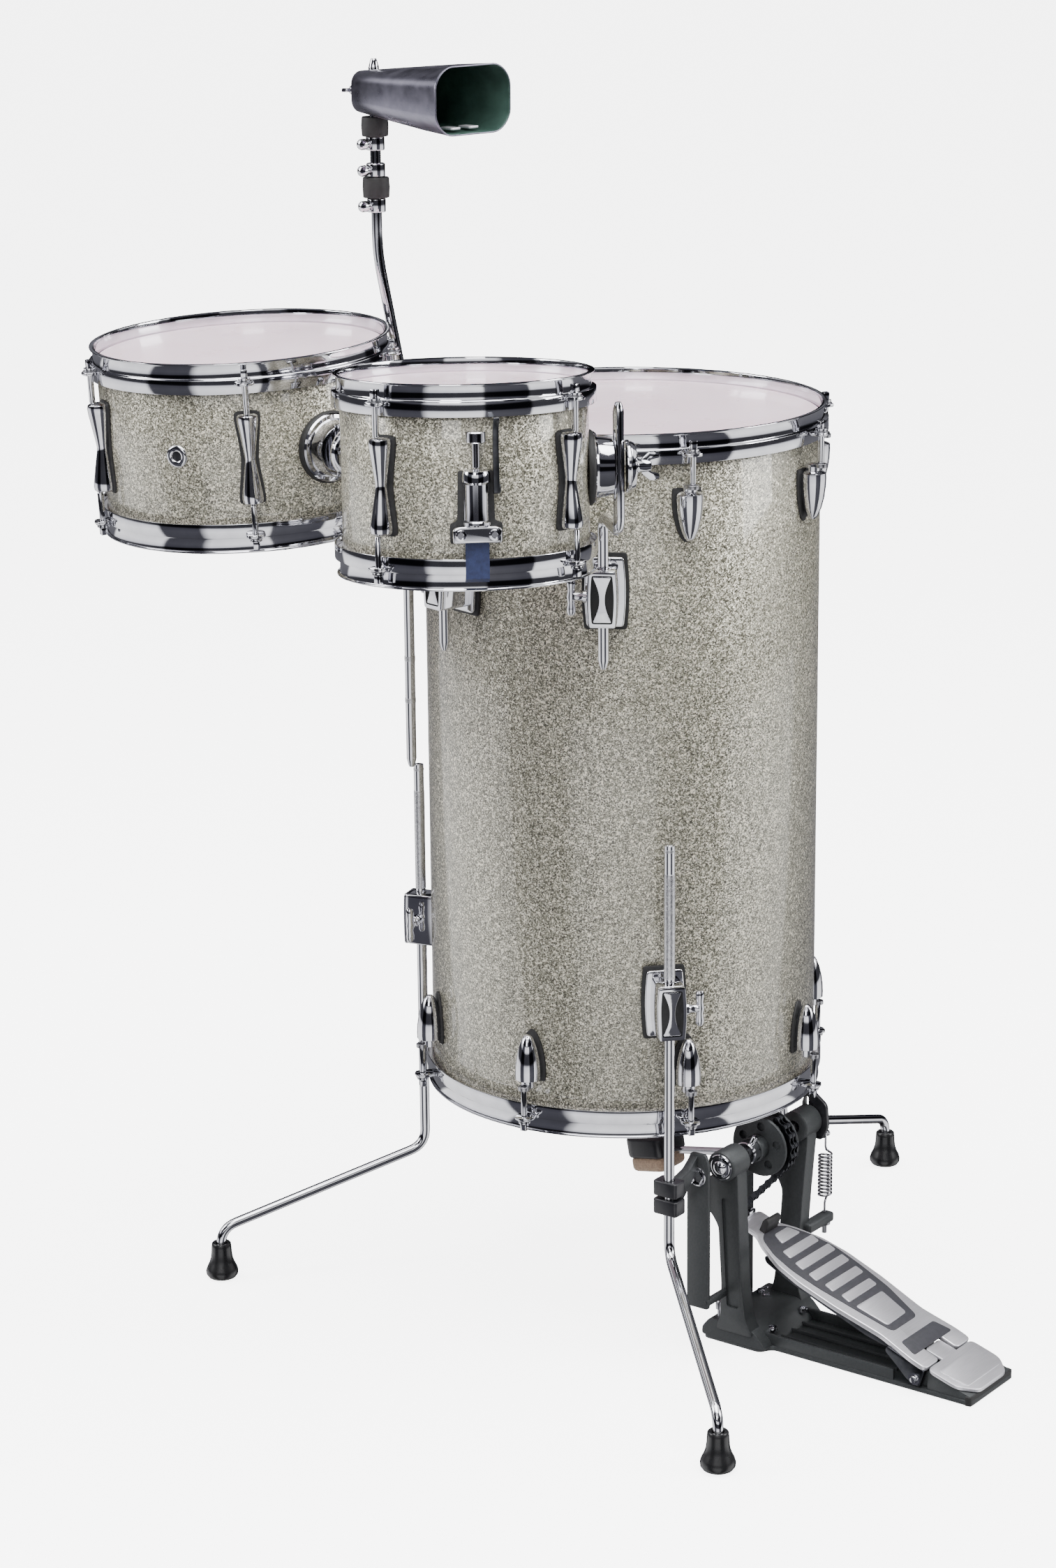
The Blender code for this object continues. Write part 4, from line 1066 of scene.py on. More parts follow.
# %% Lever and knob
def strainer_moving():
    """The lever beside the drum, and the knob on its stem."""
    outline = [(-OUT - 13, -3), (-OUT - 8, -4.5), (-OUT - 3.4, -3), (-OUT - 3.6, 26), (-OUT - 7.4, 50),
               (-OUT - 12, 53.4), (-OUT - 18.6, 57.8), (-OUT - 19.4, 55.6), (-OUT - 14, 51),
               (-OUT - 11.4, 47), (-OUT - 9.4, 28)]
    lever = sawn("throw_off_lever", outline, 13.5, 18.2, "X", 0.7, corner=2)
    pivot = spindle("lever_pivot", (18, -OUT - 8, 0), (20, -OUT - 8, 0),
                    [(0, 0), (4, 0), (3.6, 1.2), (2, 1.6), (0, 1.6)], 24)
    dress([settle(joined(lever, pivot), STRAINER_FRAME)], DARK_STEEL, "strainer_lever", "strainer_lever")
    stem = stud("knob_stem", (0, -OUT - 9, 16.8), (0, -OUT - 9, 38), 3.2)
    ribs = [(0, 37), (8, 37), (8.8, 37.8), (8.8, 45), (8, 45.9), (3, 46.2), (0, 46)]
    knob = spindle("tension_knob", (0, -OUT - 9, 0), (0, -OUT - 9, 10), ribs, 48)
    edit(knob)
    bpy.ops.mesh.select_all(action="DESELECT")
    bpy.ops.object.mode_set(mode="OBJECT")
    for face in knob.data.polygons:
        middle = face.center - Vector((0, (-OUT - 9) * MM, 0))
        side = abs(face.normal.z) < 0.3 and middle.xy.length > 0.0085
        face.select = side and int(degrees(atan2(middle.y, middle.x)) / 7.5 + 96) % 2 == 0
    bpy.ops.object.mode_set(mode="EDIT")
    bpy.ops.mesh.inset(thickness=0.0001, depth=-0.0005)
    bpy.ops.object.mode_set(mode="OBJECT")
    dress([settle(joined(knob, stem), STRAINER_FRAME)], CHROME, "strainer_knob", "strainer_knob")


strainer_moving()
print("lever and knob")


# %% [markdown]
# ## Snare wires
# Twenty coiled steel strands lie across the lower head between two end plates. Each strand is
# a thin rod along a helix. Straps tie them to the strainer and to the butt plate.

# %% Snare wires and butt plate
def snares():
    """Twenty coiled strands between two end plates, and a strap to each side."""
    below = -TOM_DEPTH / 2 - 3.8
    strands = []
    for i in range(20):
        x = -19 + 2 * i
        route = [Vector((x + 0.55 * cos(t * 2.4), -70 + t * 0.7, below + 0.55 * sin(t * 2.4)))
                 for t in range(201)]
        strands.append(rod("snare_strand", route, 0.32, 0, 1))
    coil = joined(*strands)
    coil.name = "snare_strands"
    plates = [block("snare_end_plate", (-21, y - 4, below - 0.9), (21, y + 4, below + 0.9), 0.5)
              for y in (-70, 70)]
    straps = [block("snare_tape", (-9.5, min(y, y * 1.27), below - 0.3),
                    (9.5, max(y, y * 1.27), below + 0.3), 0.1) for y in (-74, 74)]
    dress(settle(coil, STRAINER_FRAME), STEEL, "snare_wires", "snare_wires")
    dress([settle(piece, STRAINER_FRAME) for piece in plates], CHROME, "snare_wires")
    dress([settle(piece, STRAINER_FRAME) for piece in straps], STRAP, "snare_wires")
    butt = sawn("butt_plate", mirrored([(15.5, -44), (15.5, -24), (10, -22)]), OUT + 0.4, OUT + 11.5, "Y",
                1.4, 3, corner=2)
    dress(settle(butt, STRAINER_FRAME), CHROME, "right_tom")
    print("snare strands:", len(strands))


snares()

# %% [markdown]
# ## Cowbell
# A cowbell is folded from sheet steel. A circle is extruded ring by ring, and the corners of
# each ring are moved to a rounded rectangle that widens to the mouth. Solidify gives it a wall
# and a second finish for the dark inside.

# %% Cowbell
BELL_FRAME = facing(JOINTS["cowbell_swivel"]["pos_m"],
                    Vector(JOINTS["bell_screw_turn"]["axis"]).cross(Vector((0, 0, 1))), (0, 0, 1))


def bell_section(wide, tall, bow, steps=8):
    """A rounded rectangle whose sides bow out a little."""
    corner, points = min(wide, tall) * 0.62, []
    for quarter, (sx, sz) in enumerate(((1, 1), (-1, 1), (-1, -1), (1, -1))):
        for step in range(steps + 1):
            angle = pi / 2 * (quarter + step / steps)
            x, z = sx * (wide - corner) + corner * cos(angle), sz * (tall - corner) + corner * sin(angle)
            points.append((x * (1 + bow * (1 - (z / tall) ** 2)), z * (1 + bow * (1 - (x / wide) ** 2))))
    return points


def bell_skin():
    """The bell's skin, one ring of corners for each section, bridged by extruding the mouth."""
    sections = [(12.6, 16, 16, 0.0), (10, 18.2, 18.2, 0.01), (-40, 27.4, 22.4, 0.03), (-90, 36, 26.4, 0.05),
                (-127.5, 42, 28.6, 0.06), (-130, 42.6, 28.9, 0.06)]
    first = bell_section(*sections[0][1:])
    bpy.ops.object.select_all(action="DESELECT")
    bpy.ops.mesh.primitive_circle_add(vertices=len(first), radius=0.01, fill_type="NGON")
    shell = bpy.context.object
    shell.name = "cowbell_shell"
    for corner, (x, z) in zip(shell.data.vertices, first):
        corner.co = (x * MM, sections[0][0] * MM, z * MM)
    edit(shell)
    for y, *_ in sections[1:]:
        bpy.ops.mesh.extrude_region_move(TRANSFORM_OT_translate={"value": (0, -0.01, 0)})
    bpy.ops.mesh.delete(type="ONLY_FACE")
    bpy.ops.object.mode_set(mode="OBJECT")
    levels = sorted({round(vert.co.y, 5) for vert in shell.data.vertices}, reverse=True)
    rings = [[vert for vert in shell.data.vertices if abs(vert.co.y - level) < 1e-4] for level in levels]
    for ring, (y, wide, tall, bow) in zip(rings, sections):
        for vert in ring:
            x, z = vert.co.x / MM, vert.co.z / MM
            nearest = min(range(len(first)), key=lambda i: (x - first[i][0]) ** 2 + (z - first[i][1]) ** 2)
            x, z = bell_section(wide, tall, bow)[nearest]
            vert.co = (x * MM, y * MM, z * MM)
    return shell


print("cowbell skin is ready")


# %% Cowbell with its clamp
def bell_pieces():
    shell = bell_skin()
    clean(shell)
    rim_top = max(face.center.y for face in shell.data.polygons)
    shell.data.materials.append(BELL)
    shell.data.materials.append(BELL_INSIDE)
    apply(shell, "SOLIDIFY", thickness=1.5 * MM, offset=-1, material_offset=1, material_offset_rim=0,
          use_even_offset=True)
    soften(shell, 0.5, 2, 50)
    dress(settle(shell, BELL_FRAME), BELL, "cowbell", "cowbell")
    for x in (-13, 8):
        tab = sawn("bell_tab", [(x - 6, -122), (x + 6, -122), (x + 5, -106), (x - 5, -106)], -25.4, -23.4,
                   "Z", 0.6, corner=2)
        dress(settle(tab, BELL_FRAME), BRUSHED, "cowbell")
    clamp = sawn("bell_clamp", mirrored([(9, -9), (10, 4), (8, 13.4)]), -15, 15, "Z", 1.4, 3, corner=2.5)
    cut(clamp, stud("bore", (0, 0, -30), (0, 0, 30), 5.2, 32))
    dress(settle(clamp, BELL_FRAME), CHROME, "cowbell")
    stem = spindle("bell_wing_screw", (0, 13.6, 0), (0, 30, 0),
                   [(0, 0), (3, 0), (3, 9), (5.4, 10), (5.4, 13.5), (4, 16.4), (0, 16.4)], 28)
    wing = mirrored([(3, 25), (8, 28), (10.6, 32.6), (8.4, 34.4), (4.4, 32), (0, 31)])
    wings = sawn("bell_wings", wing, -1.6, 1.6, "Z", 0.8, corner=0.8)
    dress(settle(joined(stem, wings), BELL_FRAME), CHROME, "bell_screw", "bell_screw")
    print("cowbell, tabs, clamp and wing screw; its back is at", round(rim_top / MM), "mm")


bell_pieces()


# %% [markdown]
# ## Cowbell rod
# The rod stands in the rear bracket, leans in to the bell and stands up again. Three collars
# with thumb screws hold two rubber sleeves on it, and four bands mark its height.

# %% Cowbell rod, sleeves and collars
BAND_HEIGHTS = (560, 600, 760, 800)
SWIVEL_HEIGHT = 1118
COLLARS = (("rod_collar_upper", 1066.5, 1078.5, 1072.5, (1078.8, 1096.2)),
           ("rod_collar_middle", 1043, 1055, 1049, (1024.4, 1042.6)),
           ("rod_collar_lower", 1011.5, 1023.7, 1017.5, None))


def bell_rod():
    base = BRACKET_FRAMES["bell_arm"].translation / MM
    top = BELL_FRAME.translation / MM
    points = [Vector((base.x, base.y, 496)), Vector((base.x, base.y, 850)), Vector((top.x, top.y, 975)),
              Vector((top.x, top.y, 1147))]
    bar = rod("bell_rod_bar", bent_route(points, 20), ROD_R, tips=8)
    dress(bar, CHROME, "bell_rod", "bell_rod")
    for height in BAND_HEIGHTS:
        band = turned("bell_rod_band", [(4.4, -2.2), (5.05, -2.2), (5.05, 2.2), (4.4, 2.2)], 28,
                      closed=True, corner=0.3)
        settle(band, Matrix.Translation((base.x * MM, base.y * MM, height * MM)))
        dress(band, KNURLED, "bell_rod")
    for node, low, high, screw_at, sleeve in COLLARS:
        ring = [(4.9, low), (8.4, low), (8.4, high), (4.9, high)]
        collar = turned(node + "_ring", [(r, z - SWIVEL_HEIGHT) for r, z in smooth_corners(ring, 1)], 36,
                        closed=True)
        screw = spindle(node + "_thumb_screw", (-7.6, 0, screw_at - SWIVEL_HEIGHT),
                        (-20, 0, screw_at - SWIVEL_HEIGHT),
                        [(0, 0), (2.2, 0), (2.4, 3), (4.6, 3.6), (5, 5), (5, 9), (4.4, 10.6), (2, 12),
                         (0, 12.2)], 24)
        dress(settle(joined(collar, screw), BELL_FRAME), CHROME, "bell_rod", node)
        if sleeve:
            tube = [(4.9, sleeve[0]), (11.8, sleeve[0]), (12.3, sum(sleeve) / 2), (11.8, sleeve[1]),
                    (4.9, sleeve[1])]
            rubber = turned(node + "_sleeve", [(r, z - SWIVEL_HEIGHT) for r, z in smooth_corners(tube, 1)],
                            32, closed=True)
            dress(settle(rubber, BELL_FRAME), RUBBER, "bell_rod")
    print("bell rod from", round(points[0].z), "to", round(points[-1].z), "mm")


bell_rod()

# %% [markdown]
# ## Kick pedal
# Its shaft, hinge and beater places all come from the pedal's two joints.

# %% Pedal places
SHAFT = KIT.inverted() @ Vector(JOINTS["beater_swing"]["pos_m"]) / MM
HINGE = KIT.inverted() @ Vector(JOINTS["footboard_press"]["pos_m"]) / MM
PX, SY, SZ = SHAFT
HY, HZ = HINGE.y, HINGE.z
BOARD_SLOPE, POST_LEAN = 21.0, 18.0
BOARD_FRAME = KIT @ Matrix.Translation(HINGE * MM) @ Matrix.Rotation(radians(BOARD_SLOPE), 4, "X")
print("pedal shaft at", [round(v) for v in SHAFT], "hinge at", [round(v) for v in HINGE])


def on_pedal(pieces, finish, *nodes, body="floor_drum", slot=None):
    dress([settle(piece, KIT) for piece in pieces], finish, body, *nodes, slot=slot)


# %% [markdown]
# ## Pedal base and posts
# The base is a cast plate with a raised shoe under the posts. The posts are sawn from outlines
# with a waist, grooved by a Boolean, and leaned outwards by moving each corner with its height.

# %% Pedal base
def pedal_base():
    outline = mirrored([(PX + 37, -410), (PX + 37, -203), (PX + 49, -196), (PX + 49, -135)], PX)
    base = sawn("pedal_base_plate", outline, 0.2, 5, "Z", 0.9, corner=5)
    hump = [(-203, 4), (-200, 8.6), (-192, 17), (-184, 21.4), (-172, 22), (-142, 21.6), (-134, 12),
            (-133.4, 4)]
    shoe = sawn("pedal_shoe", hump, PX - 49.6, PX + 49.6, "X", 1.6, 3, corner=3)
    rims = [block("base_rim", (PX + s * 35 - 1.5, HY + 24, 4), (PX + s * 35 + 1.5, -188, 15), 0.8)
            for s in (-1, 1)]
    ribs = [block("base_rib", (PX + x - 1.4, HY + 30, 4.5), (PX + x + 1.4, -200, 8.2), 0.6)
            for x in (-18, 0, 18)]
    on_pedal([base, shoe, *rims, *ribs], CASTING, "pedal_frame")


pedal_base()
print("pedal base")


# %% Pedal posts
def pedal_post(side):
    """A curved casting that leans in towards its foot, with a bearing boss on top."""
    outline = [(-190, 14), (-150, 14), (-156, 30), (-158.6, 60), (-159, 120), (-152, 132), (-136, 140),
               (-136, 156), (-152, 164), (-158, 176), (-164, 184), (-176, 184), (-183, 176), (-181.4, 120),
               (-180.6, 60), (-183, 30)]
    x = PX + side * 60
    post = sawn("pedal_post", outline, x - 8, x + 8, "X", 1.8, 3, corner=4)
    groove = sawn("groove", [(-176.4, 40), (-163.6, 40), (-164.4, 150), (-175.6, 150)], x + side * 6.2,
                  x + side * 12, "X", corner=3)
    cut(post, groove)
    for vert in post.data.vertices:
        vert.co.x += side * POST_LEAN * MM * (vert.co.z / (SZ * MM) - 1)
    boss = spindle("bearing_boss", (x - side * 13, SY, SZ), (x + side * 15, SY, SZ),
                   [(6.2, 0), (12.6, 0), (14.4, 1.4), (14.4, 26), (13.2, 27.6), (6.2, 27.6), (6.2, 0)], 48)
    on_pedal([post, boss], CASTING)
    race = spindle("bearing_race", (x + side * 13.6, SY, SZ), (x + side * 17, SY, SZ),
                   [(5.2, 0), (11.8, 0), (12, 1.6), (11.2, 2.4), (10, 2.0), (8.6, 2.6), (5.2, 2.6),
                    (5.2, 0)], 48)
    on_pedal([race], CHROME)


pedal_post(-1)
pedal_post(1)
print("two posts")

# %% [markdown]
# ## Pedal fittings
# Small parts tie the castings together: a brace and a plate behind the posts, an ear for the
# spring, the heel block with its yoke and pin, four bolts, a key screw and a spike.

# %% Pedal fittings
def pedal_fittings():
    brace = sawn("pedal_brace", mirrored([(66, 139), (66, 156.5), (30, 156.5), (22, 152)]), -140.8, -134.5,
                 "Y", 1.4, corner=2.5)
    settle(brace, Matrix.Translation((PX * MM, 0, 0)))
    rear = block("pedal_rear_plate", (PX + 6, -138.3, 10), (PX + 30, -134.8, 176), 1.2)
    ear = block("spring_ear", (PX + 50, -188, 80.2), (PX + 92, -176, 89.8), 2.4, 3)
    heel = sawn("heel_block", [(HY - 55, 4), (HY - 10.5, 4), (HY - 10.5, HZ + 5.5), (HY - 13, HZ + 7.6),
                               (HY - 55, 8.8)], PX - 36, PX + 36, "X", 0.8)
    yoke = [block("hinge_yoke", (PX + s * 29.5 - 2.5, HY - 12, 4), (PX + s * 29.5 + 2.5, HY + 7, HZ + 6.5),
                  1.5, 3) for s in (-1, 1)]
    on_pedal([brace, rear, ear, heel, *yoke], CASTING)
    pin = stud("hinge_pin", (PX - 43, HY, HZ), (PX + 43, HY, HZ), 3.1)
    ends = [spindle("hinge_pin_ring", (PX + s * 43.2, HY, HZ), (PX + s * 45, HY, HZ),
                    [(0, 0), (2.2, 0), (2.4, 1.3), (0, 1.5)], 24) for s in (-1, 1)]
    bolts = []
    for y in (-196, -150):
        for s in (-1, 1):
            bolts.append(spindle("base_bolt", (PX + s * 26, y, 14 if y < -180 else 21),
                                 (PX + s * 26, y, 30),
                                 [(0, 0), (4.4, 0), (4.6, 1.2), (4, 4), (2.4, 4.2), (2.2, 2.4), (0, 2.4)],
                                 24))
    key = spindle("drum_key_screw", (PX + 22, -158, 21), (PX + 22, -158, 40),
                  [(0, 0), (4.6, 0), (4.6, 3), (2.6, 3.6), (2.6, 9.4), (0, 9.8)], 4)
    on_pedal([pin, *ends, *bolts, key], CHROME)
    foot = spindle("spike", (PX - 43, -150, 20), (PX - 43, -150, 44),
                   [(0, 0), (3, 0), (3, 10), (4.6, 10.6), (4.8, 17), (3.4, 19), (0, 19.2)], 28)
    on_pedal([foot], STEEL)


pedal_fittings()
print("brace, yoke, pin and bolts")


# %% [markdown]
# ## Heel plate
# A smooth alloy plate slopes up over the heel block, with a tongue between the yokes. Both are
# sawn flat and their corners are lifted with the slope.

# %% Heel plate
HEEL_RISE = 13.7 / 45


def heel_plate():
    outline = mirrored([(PX + 24, -410.8), (PX + 38.6, -396), (PX + 38.6, HY - 12), (PX + 14, HY - 12)], PX)
    plate = sawn("heel_plate_top", outline, 0, 3.4, "Z", 0.9, corner=6)
    tongue = sawn("heel_tongue", mirrored([(PX + 12.6, HY - 14), (PX + 12.6, HY + 4), (PX + 10, HY + 6)],
                                          PX), 0.4, 3.2, "Z", 0.7, corner=2)
    for piece in (plate, tongue):
        for vert in piece.data.vertices:
            along = vert.co.y / MM - (HY - 57)
            vert.co.z += (8.8 + min(along, 66) * HEEL_RISE) * MM
    pad = sawn("heel_pad", mirrored([(PX + 30, HY - 48), (PX + 32, HY - 20)], PX), 3.0, 4.0, "Z", 0.4,
               corner=4)
    for vert in pad.data.vertices:
        vert.co.z += (8.8 + (vert.co.y / MM - (HY - 57)) * HEEL_RISE) * MM
    on_pedal([plate, tongue], BRUSHED, "heel_plate")
    on_pedal([pad], BRUSHED)
    edge = sawn("heel_rubber_edge", mirrored([(PX + 37, HY - 55.6), (PX + 38, HY - 50)], PX), 0.4, 9, "Z",
                0.8, corner=1)
    on_pedal([edge], RUBBER)


heel_plate()
print("heel plate")

# %% [markdown]
# ## Footboard
# A waisted alloy plate with a black grip panel let into it. Silver bars, a toe pad and a window
# show through the panel. Below it are side skirts, hinge cheeks and the knuckle on the pin.

# %% Footboard
def footboard():
    half = [(15.5, 16), (15.5, -6), (40, -6), (40.5, 10), (38, 30), (36, 46), (38, 64), (41.5, 95),
            (42.5, 135), (38.5, 162), (27, 188), (18, 200), (17, 221.6)]
    outline = mirrored(half)
    board = sawn("footboard_plate", outline, 11.2, 15.8, "Z", 1.0, 3, corner=5)
    dress([settle(board, BOARD_FRAME)], BRUSHED, "footboard", "footboard")
    panel = [(-22, 42), (20, 42), (32, 82), (36, 118), (37, 148), (31, 172), (20, 192), (9, 198), (-9, 198),
             (-20, 192), (-30, 172), (-34, 148), (-33, 118), (-28, 82)]
    grip = sawn("grip_panel", panel, 15.4, 16.5, "Z", 0.4, corner=5)
    heel_panel = sawn("heel_grip_panel", mirrored([(33, 11), (28, 29)]), 15.4, 16.4, "Z", 0.4, corner=3)
    dress([settle(grip, BOARD_FRAME), settle(heel_panel, BOARD_FRAME)], INLAY, "footboard")
    bars = [sawn("toe_pad", [(-9, 177.5), (23, 178), (18, 190), (-4, 190)], 15.8, 17.4, "Z", 0.6,
                 corner=2.5)]
    for y, low, high in ((165, -21, 30), (148, -25, 33.5), (131, -27, 32), (113, -26, 29), (95, -25, 25)):
        shape = [(low, y - 5.2), (high - 1, y - 4.6), (high, y + 5), (low + 2, y + 5.2)]
        bars.append(sawn("grip_bar", shape, 15.8, 17.4, "Z", 0.6, corner=2))
    bars.append(sawn("window_plate", [(-20, 49.5), (14, 50.5), (20, 82), (-24, 83)], 15.8, 17.2, "Z", 0.6,
                     corner=3))
    dress([settle(piece, BOARD_FRAME) for piece in bars], BRUSHED, "footboard")
    stop = sawn("toe_stop", [(196, 15.6), (203, 15.6), (203, 27), (201, 30), (198, 30), (196, 27)], -11, 11,
                "X", 1.4, corner=1.5)
    skirts, cheeks = [], []
    for s in (-1, 1):
        skirts.append(sawn("board_skirt", [(34, 11.4), (180, 11.4), (176, 6), (150, 3.2), (60, 3.2),
                                           (38, 6)], s * 31.5 - 1.5, s * 31.5 + 1.5, "X", 0.6, corner=3))
        cheek = [(-7, -5.6), (7, -5.8), (20, 0), (36, 6), (36, 11.6), (-6, 11.6)]
        cheeks.append(sawn("hinge_cheek", cheek, s * 36.5 - 3.4, s * 36.5 + 3.4, "X", 1.0, corner=3))
        cheeks[-1] = cut(cheeks[-1], stud("bore", (s * 36.5 - 10, 0, 0), (s * 36.5 + 10, 0, 0), 3.5, 28))
        cheeks.append(block("hinge_strut", (s * 21 - 3.8, -3.8, 1), (s * 21 + 3.8, 8, 11.6), 0.8))
    knuckle = spindle("hinge_knuckle", (-26, 0, 0), (26, 0, 0),
                      [(3.5, 0), (5.8, 0), (6.3, 0.8), (6.3, 24), (5.9, 25), (5.9, 27), (6.3, 28),
                       (6.3, 51.2), (5.8, 52), (3.5, 52), (3.5, 0)], 36)
    dress([settle(stop, BOARD_FRAME)], RUBBER, "footboard")
    dress([settle(piece, BOARD_FRAME) for piece in skirts + cheeks], DARK_STEEL, "footboard")
    dress(settle(knuckle, BOARD_FRAME), DARK_STEEL, "footboard", slot="spring_steel")
    rings = [spindle("cheek_ring", (s * 40, 0, 0), (s * 42, 0, 0),
                     [(3.4, 0), (5.8, 0), (5.8, 1.2), (3.4, 1.2), (3.4, 0)], 32) for s in (-1, 1)]
    dress([settle(piece, BOARD_FRAME) for piece in rings], CHROME, "footboard")
    print("footboard with", len(bars), "raised bars")


footboard()

# %% [markdown]
# ## Shaft and cam
# The hexagonal shaft carries the cam, two flanges that guide the chain, and a hub. The flanges
# have five round windows each, which one Boolean at a time cuts.


# %% Shaft and cam
def shaft():
    hexagon = [(cos(pi / 3 * i) * 4.7, sin(pi / 3 * i) * 4.7) for i in range(6)]
    bar = sawn("hex_shaft", hexagon, PX - 76.6, PX + 87.6, "X", 0.4)
    settle(bar, Matrix.Translation((0, SY * MM, SZ * MM)))
    caps = [spindle("shaft_cap", (PX - 76, SY, SZ), (PX - 80, SY, SZ),
                    [(0, 0), (6.4, 0), (6.4, 1.4), (4.8, 3), (2, 3.9), (0, 4)], 32)]
    cam = spindle("chain_cam", (PX - 8.6, SY, SZ), (PX + 8.6, SY, SZ),
                  [(4, 0), (23, 0), (24.6, 1), (24.8, 4), (23.4, 5.4), (24.8, 7), (24.8, 10.2),
                   (23.4, 11.8), (24.8, 13.2), (24.6, 16.2), (23, 17.2), (4, 17.2), (4, 0)], 64)
    flanges = []
    for s in (-1, 1):
        disc = spindle("cam_flange", (PX + s * 8.6, SY, SZ), (PX + s * 11.4, SY, SZ),
                       [(4, 0), (28, 0), (28.8, 0.8), (28.8, 2), (28, 2.8), (4, 2.8), (4, 0)], 64)
        holes = []
        for i in range(5):
            angle = 2 * pi * i / 5 + 0.4
            y, z = SY + 19 * cos(angle), SZ + 19 * sin(angle)
            holes.append(stud("hole", (PX + s * 4, y, z), (PX + s * 20, y, z), 4.2, 24))
        flanges.append(cut(disc, *holes))
    hub = spindle("cam_hub", (PX - 23.6, SY, SZ), (PX + 19.6, SY, SZ),
                  [(4, 0), (10.6, 0), (11.8, 1.2), (11.8, 10), (10.4, 12), (10.4, 30), (11.8, 33),
                   (11.8, 42), (10.6, 43.2), (4, 43.2), (4, 0)], 48)
    on_pedal([bar], STEEL, "cam_shaft", body="cam_shaft")
    on_pedal(caps, CHROME, body="cam_shaft")
    on_pedal([cam, hub], CASTING, body="cam_shaft")
    on_pedal(flanges, CASTING, body="cam_shaft")


shaft()
print("shaft, cam, two flanges and hub")

# %% [markdown]
# ## Spring rocker
# A dark plate on the shaft's end, with a slot and a post for the return spring.

# %% Spring rocker
def rocker():
    outline = smooth_corners([(-166, 175), (-160, 196), (-164, 209), (-172, 211), (-187, 200), (-189, 178),
                              (-182, 164), (-172, 166)], 4)
    plate = sawn("rocker_plate", outline, PX + 75.6, PX + 80, "X", 0.8)
    slot = sawn("rocker_slot", oval(2.2, 188, 205, 12), PX + 70, PX + 90, "X")
    settle(slot, Matrix.Translation((0, -166 * MM, 0)))
    cut(plate, slot)
    hook = spindle("rocker_post", (PX + 79.6, -182, 168.5), (PX + 88, -182, 168.5),
                   [(0, 0), (3, 0), (3, 2), (2, 2.6), (2, 6), (3, 6.6), (3, 8), (0, 8.2)], 24)
    hub = spindle("rocker_hub", (PX + 79.8, SY, SZ), (PX + 87, SY, SZ),
                  [(4.4, 0), (9.4, 0), (9.6, 1), (9.6, 6), (8.8, 7), (4.4, 7), (4.4, 0)], 40)
    on_pedal([plate], PLASTIC, "spring_rocker", body="cam_shaft")
    on_pedal([hook, hub], CHROME, body="cam_shaft")


rocker()
print("spring rocker")

# %% [markdown]
# ## Chain
# The chain is two rows of rollers between three rows of plates. Its route is an arc on the cam
# and then a tangent to the footboard. The wound links turn with the shaft and the straight ones
# go with the footboard. Every second link is a little wider, as in a real chain.

# %% Chain
def chain():
    """A double roller chain along the cam and down to the footboard's tip."""
    reach, tip = 29.0, (-150.5 + 4, 107.0 + 9)
    away = Vector((SY - tip[0], tip[1] - SZ))
    leaves = atan2(away.y, away.x) + acos(reach / away.length)
    start, pitch = radians(62), 9.5
    arc = (leaves - start) * reach
    off = Vector((SY - cos(leaves) * reach, SZ + sin(leaves) * reach))
    line = Vector(tip) - off
    stops = []
    for i in range(int((abs(arc) + line.length) / pitch) + 1):
        run = i * pitch
        if run < abs(arc):
            angle = start + (run / reach) * (1 if arc > 0 else -1)
            stops.append((Vector((SY - cos(angle) * reach, SZ + sin(angle) * reach)), True))
        else:
            stops.append((off + line.normalized() * (run - abs(arc)), False))
    upper = [(-3.1, 0), (-2.2, 2.2), (0, 3.1), (2.4, 2.3), (4.7, 1.7), (7, 2.3), (9.5, 3.1), (11.7, 2.2),
             (12.6, 0)]
    outline = upper + [(a, -b) for a, b in reversed(upper[1:-1])]
    wound, straight = [], []
    for i, ((here, on_cam), (after, _)) in enumerate(zip(stops, stops[1:])):
        along = after - here
        turn = Matrix.Rotation(atan2(along.y, along.x), 4, "X")
        turn = Matrix.Translation((PX * MM, here.x * MM, here.y * MM)) @ turn
        link = []
        inner = 0.7 if i % 2 else 0.0
        for x in (-5.6, -0.5, 4.6):
            low = x + inner * (0.5 if x > -1 else -0.5)
            link.append(sawn("chain_plate", outline, low, low + 1.0, "X"))
        link.append(spindle("chain_roller", (-6.2, 0, 0), (6.2, 0, 0),
                            [(0, 0), (1.4, 0), (1.4, 1.4), (2.6, 1.5), (2.6, 5.6), (1.5, 5.8), (1.5, 6.6),
                             (2.6, 6.8), (2.6, 10.9), (1.4, 11), (1.4, 12.4), (0, 12.4)], 14))
        piece = settle(joined(*link), turn)
        piece.name = "chain_link"
        (wound if on_cam else straight).append(piece)
    on_pedal(wound, DARK_STEEL, body="cam_shaft", slot="spring_steel")
    on_pedal(straight, DARK_STEEL, "chain", body="footboard", slot="spring_steel")
    clip = block("chain_clip", (PX - 7, tip[0] - 9, tip[1] - 8), (PX + 7, tip[0] - 1, tip[1] - 2), 1.2)
    on_pedal([clip], CHROME, body="footboard")
    print("chain links:", len(wound), "wound and", len(straight), "straight")


chain()


# %% [markdown]
# ## Beater
# A square head on a short stem: a plastic shell with a felt cushion under it, both sawn with
# round corners, thickly bevelled and laid across the stem.

# %% Beater
BEATER_PLACE = (-71.0, 165.0)


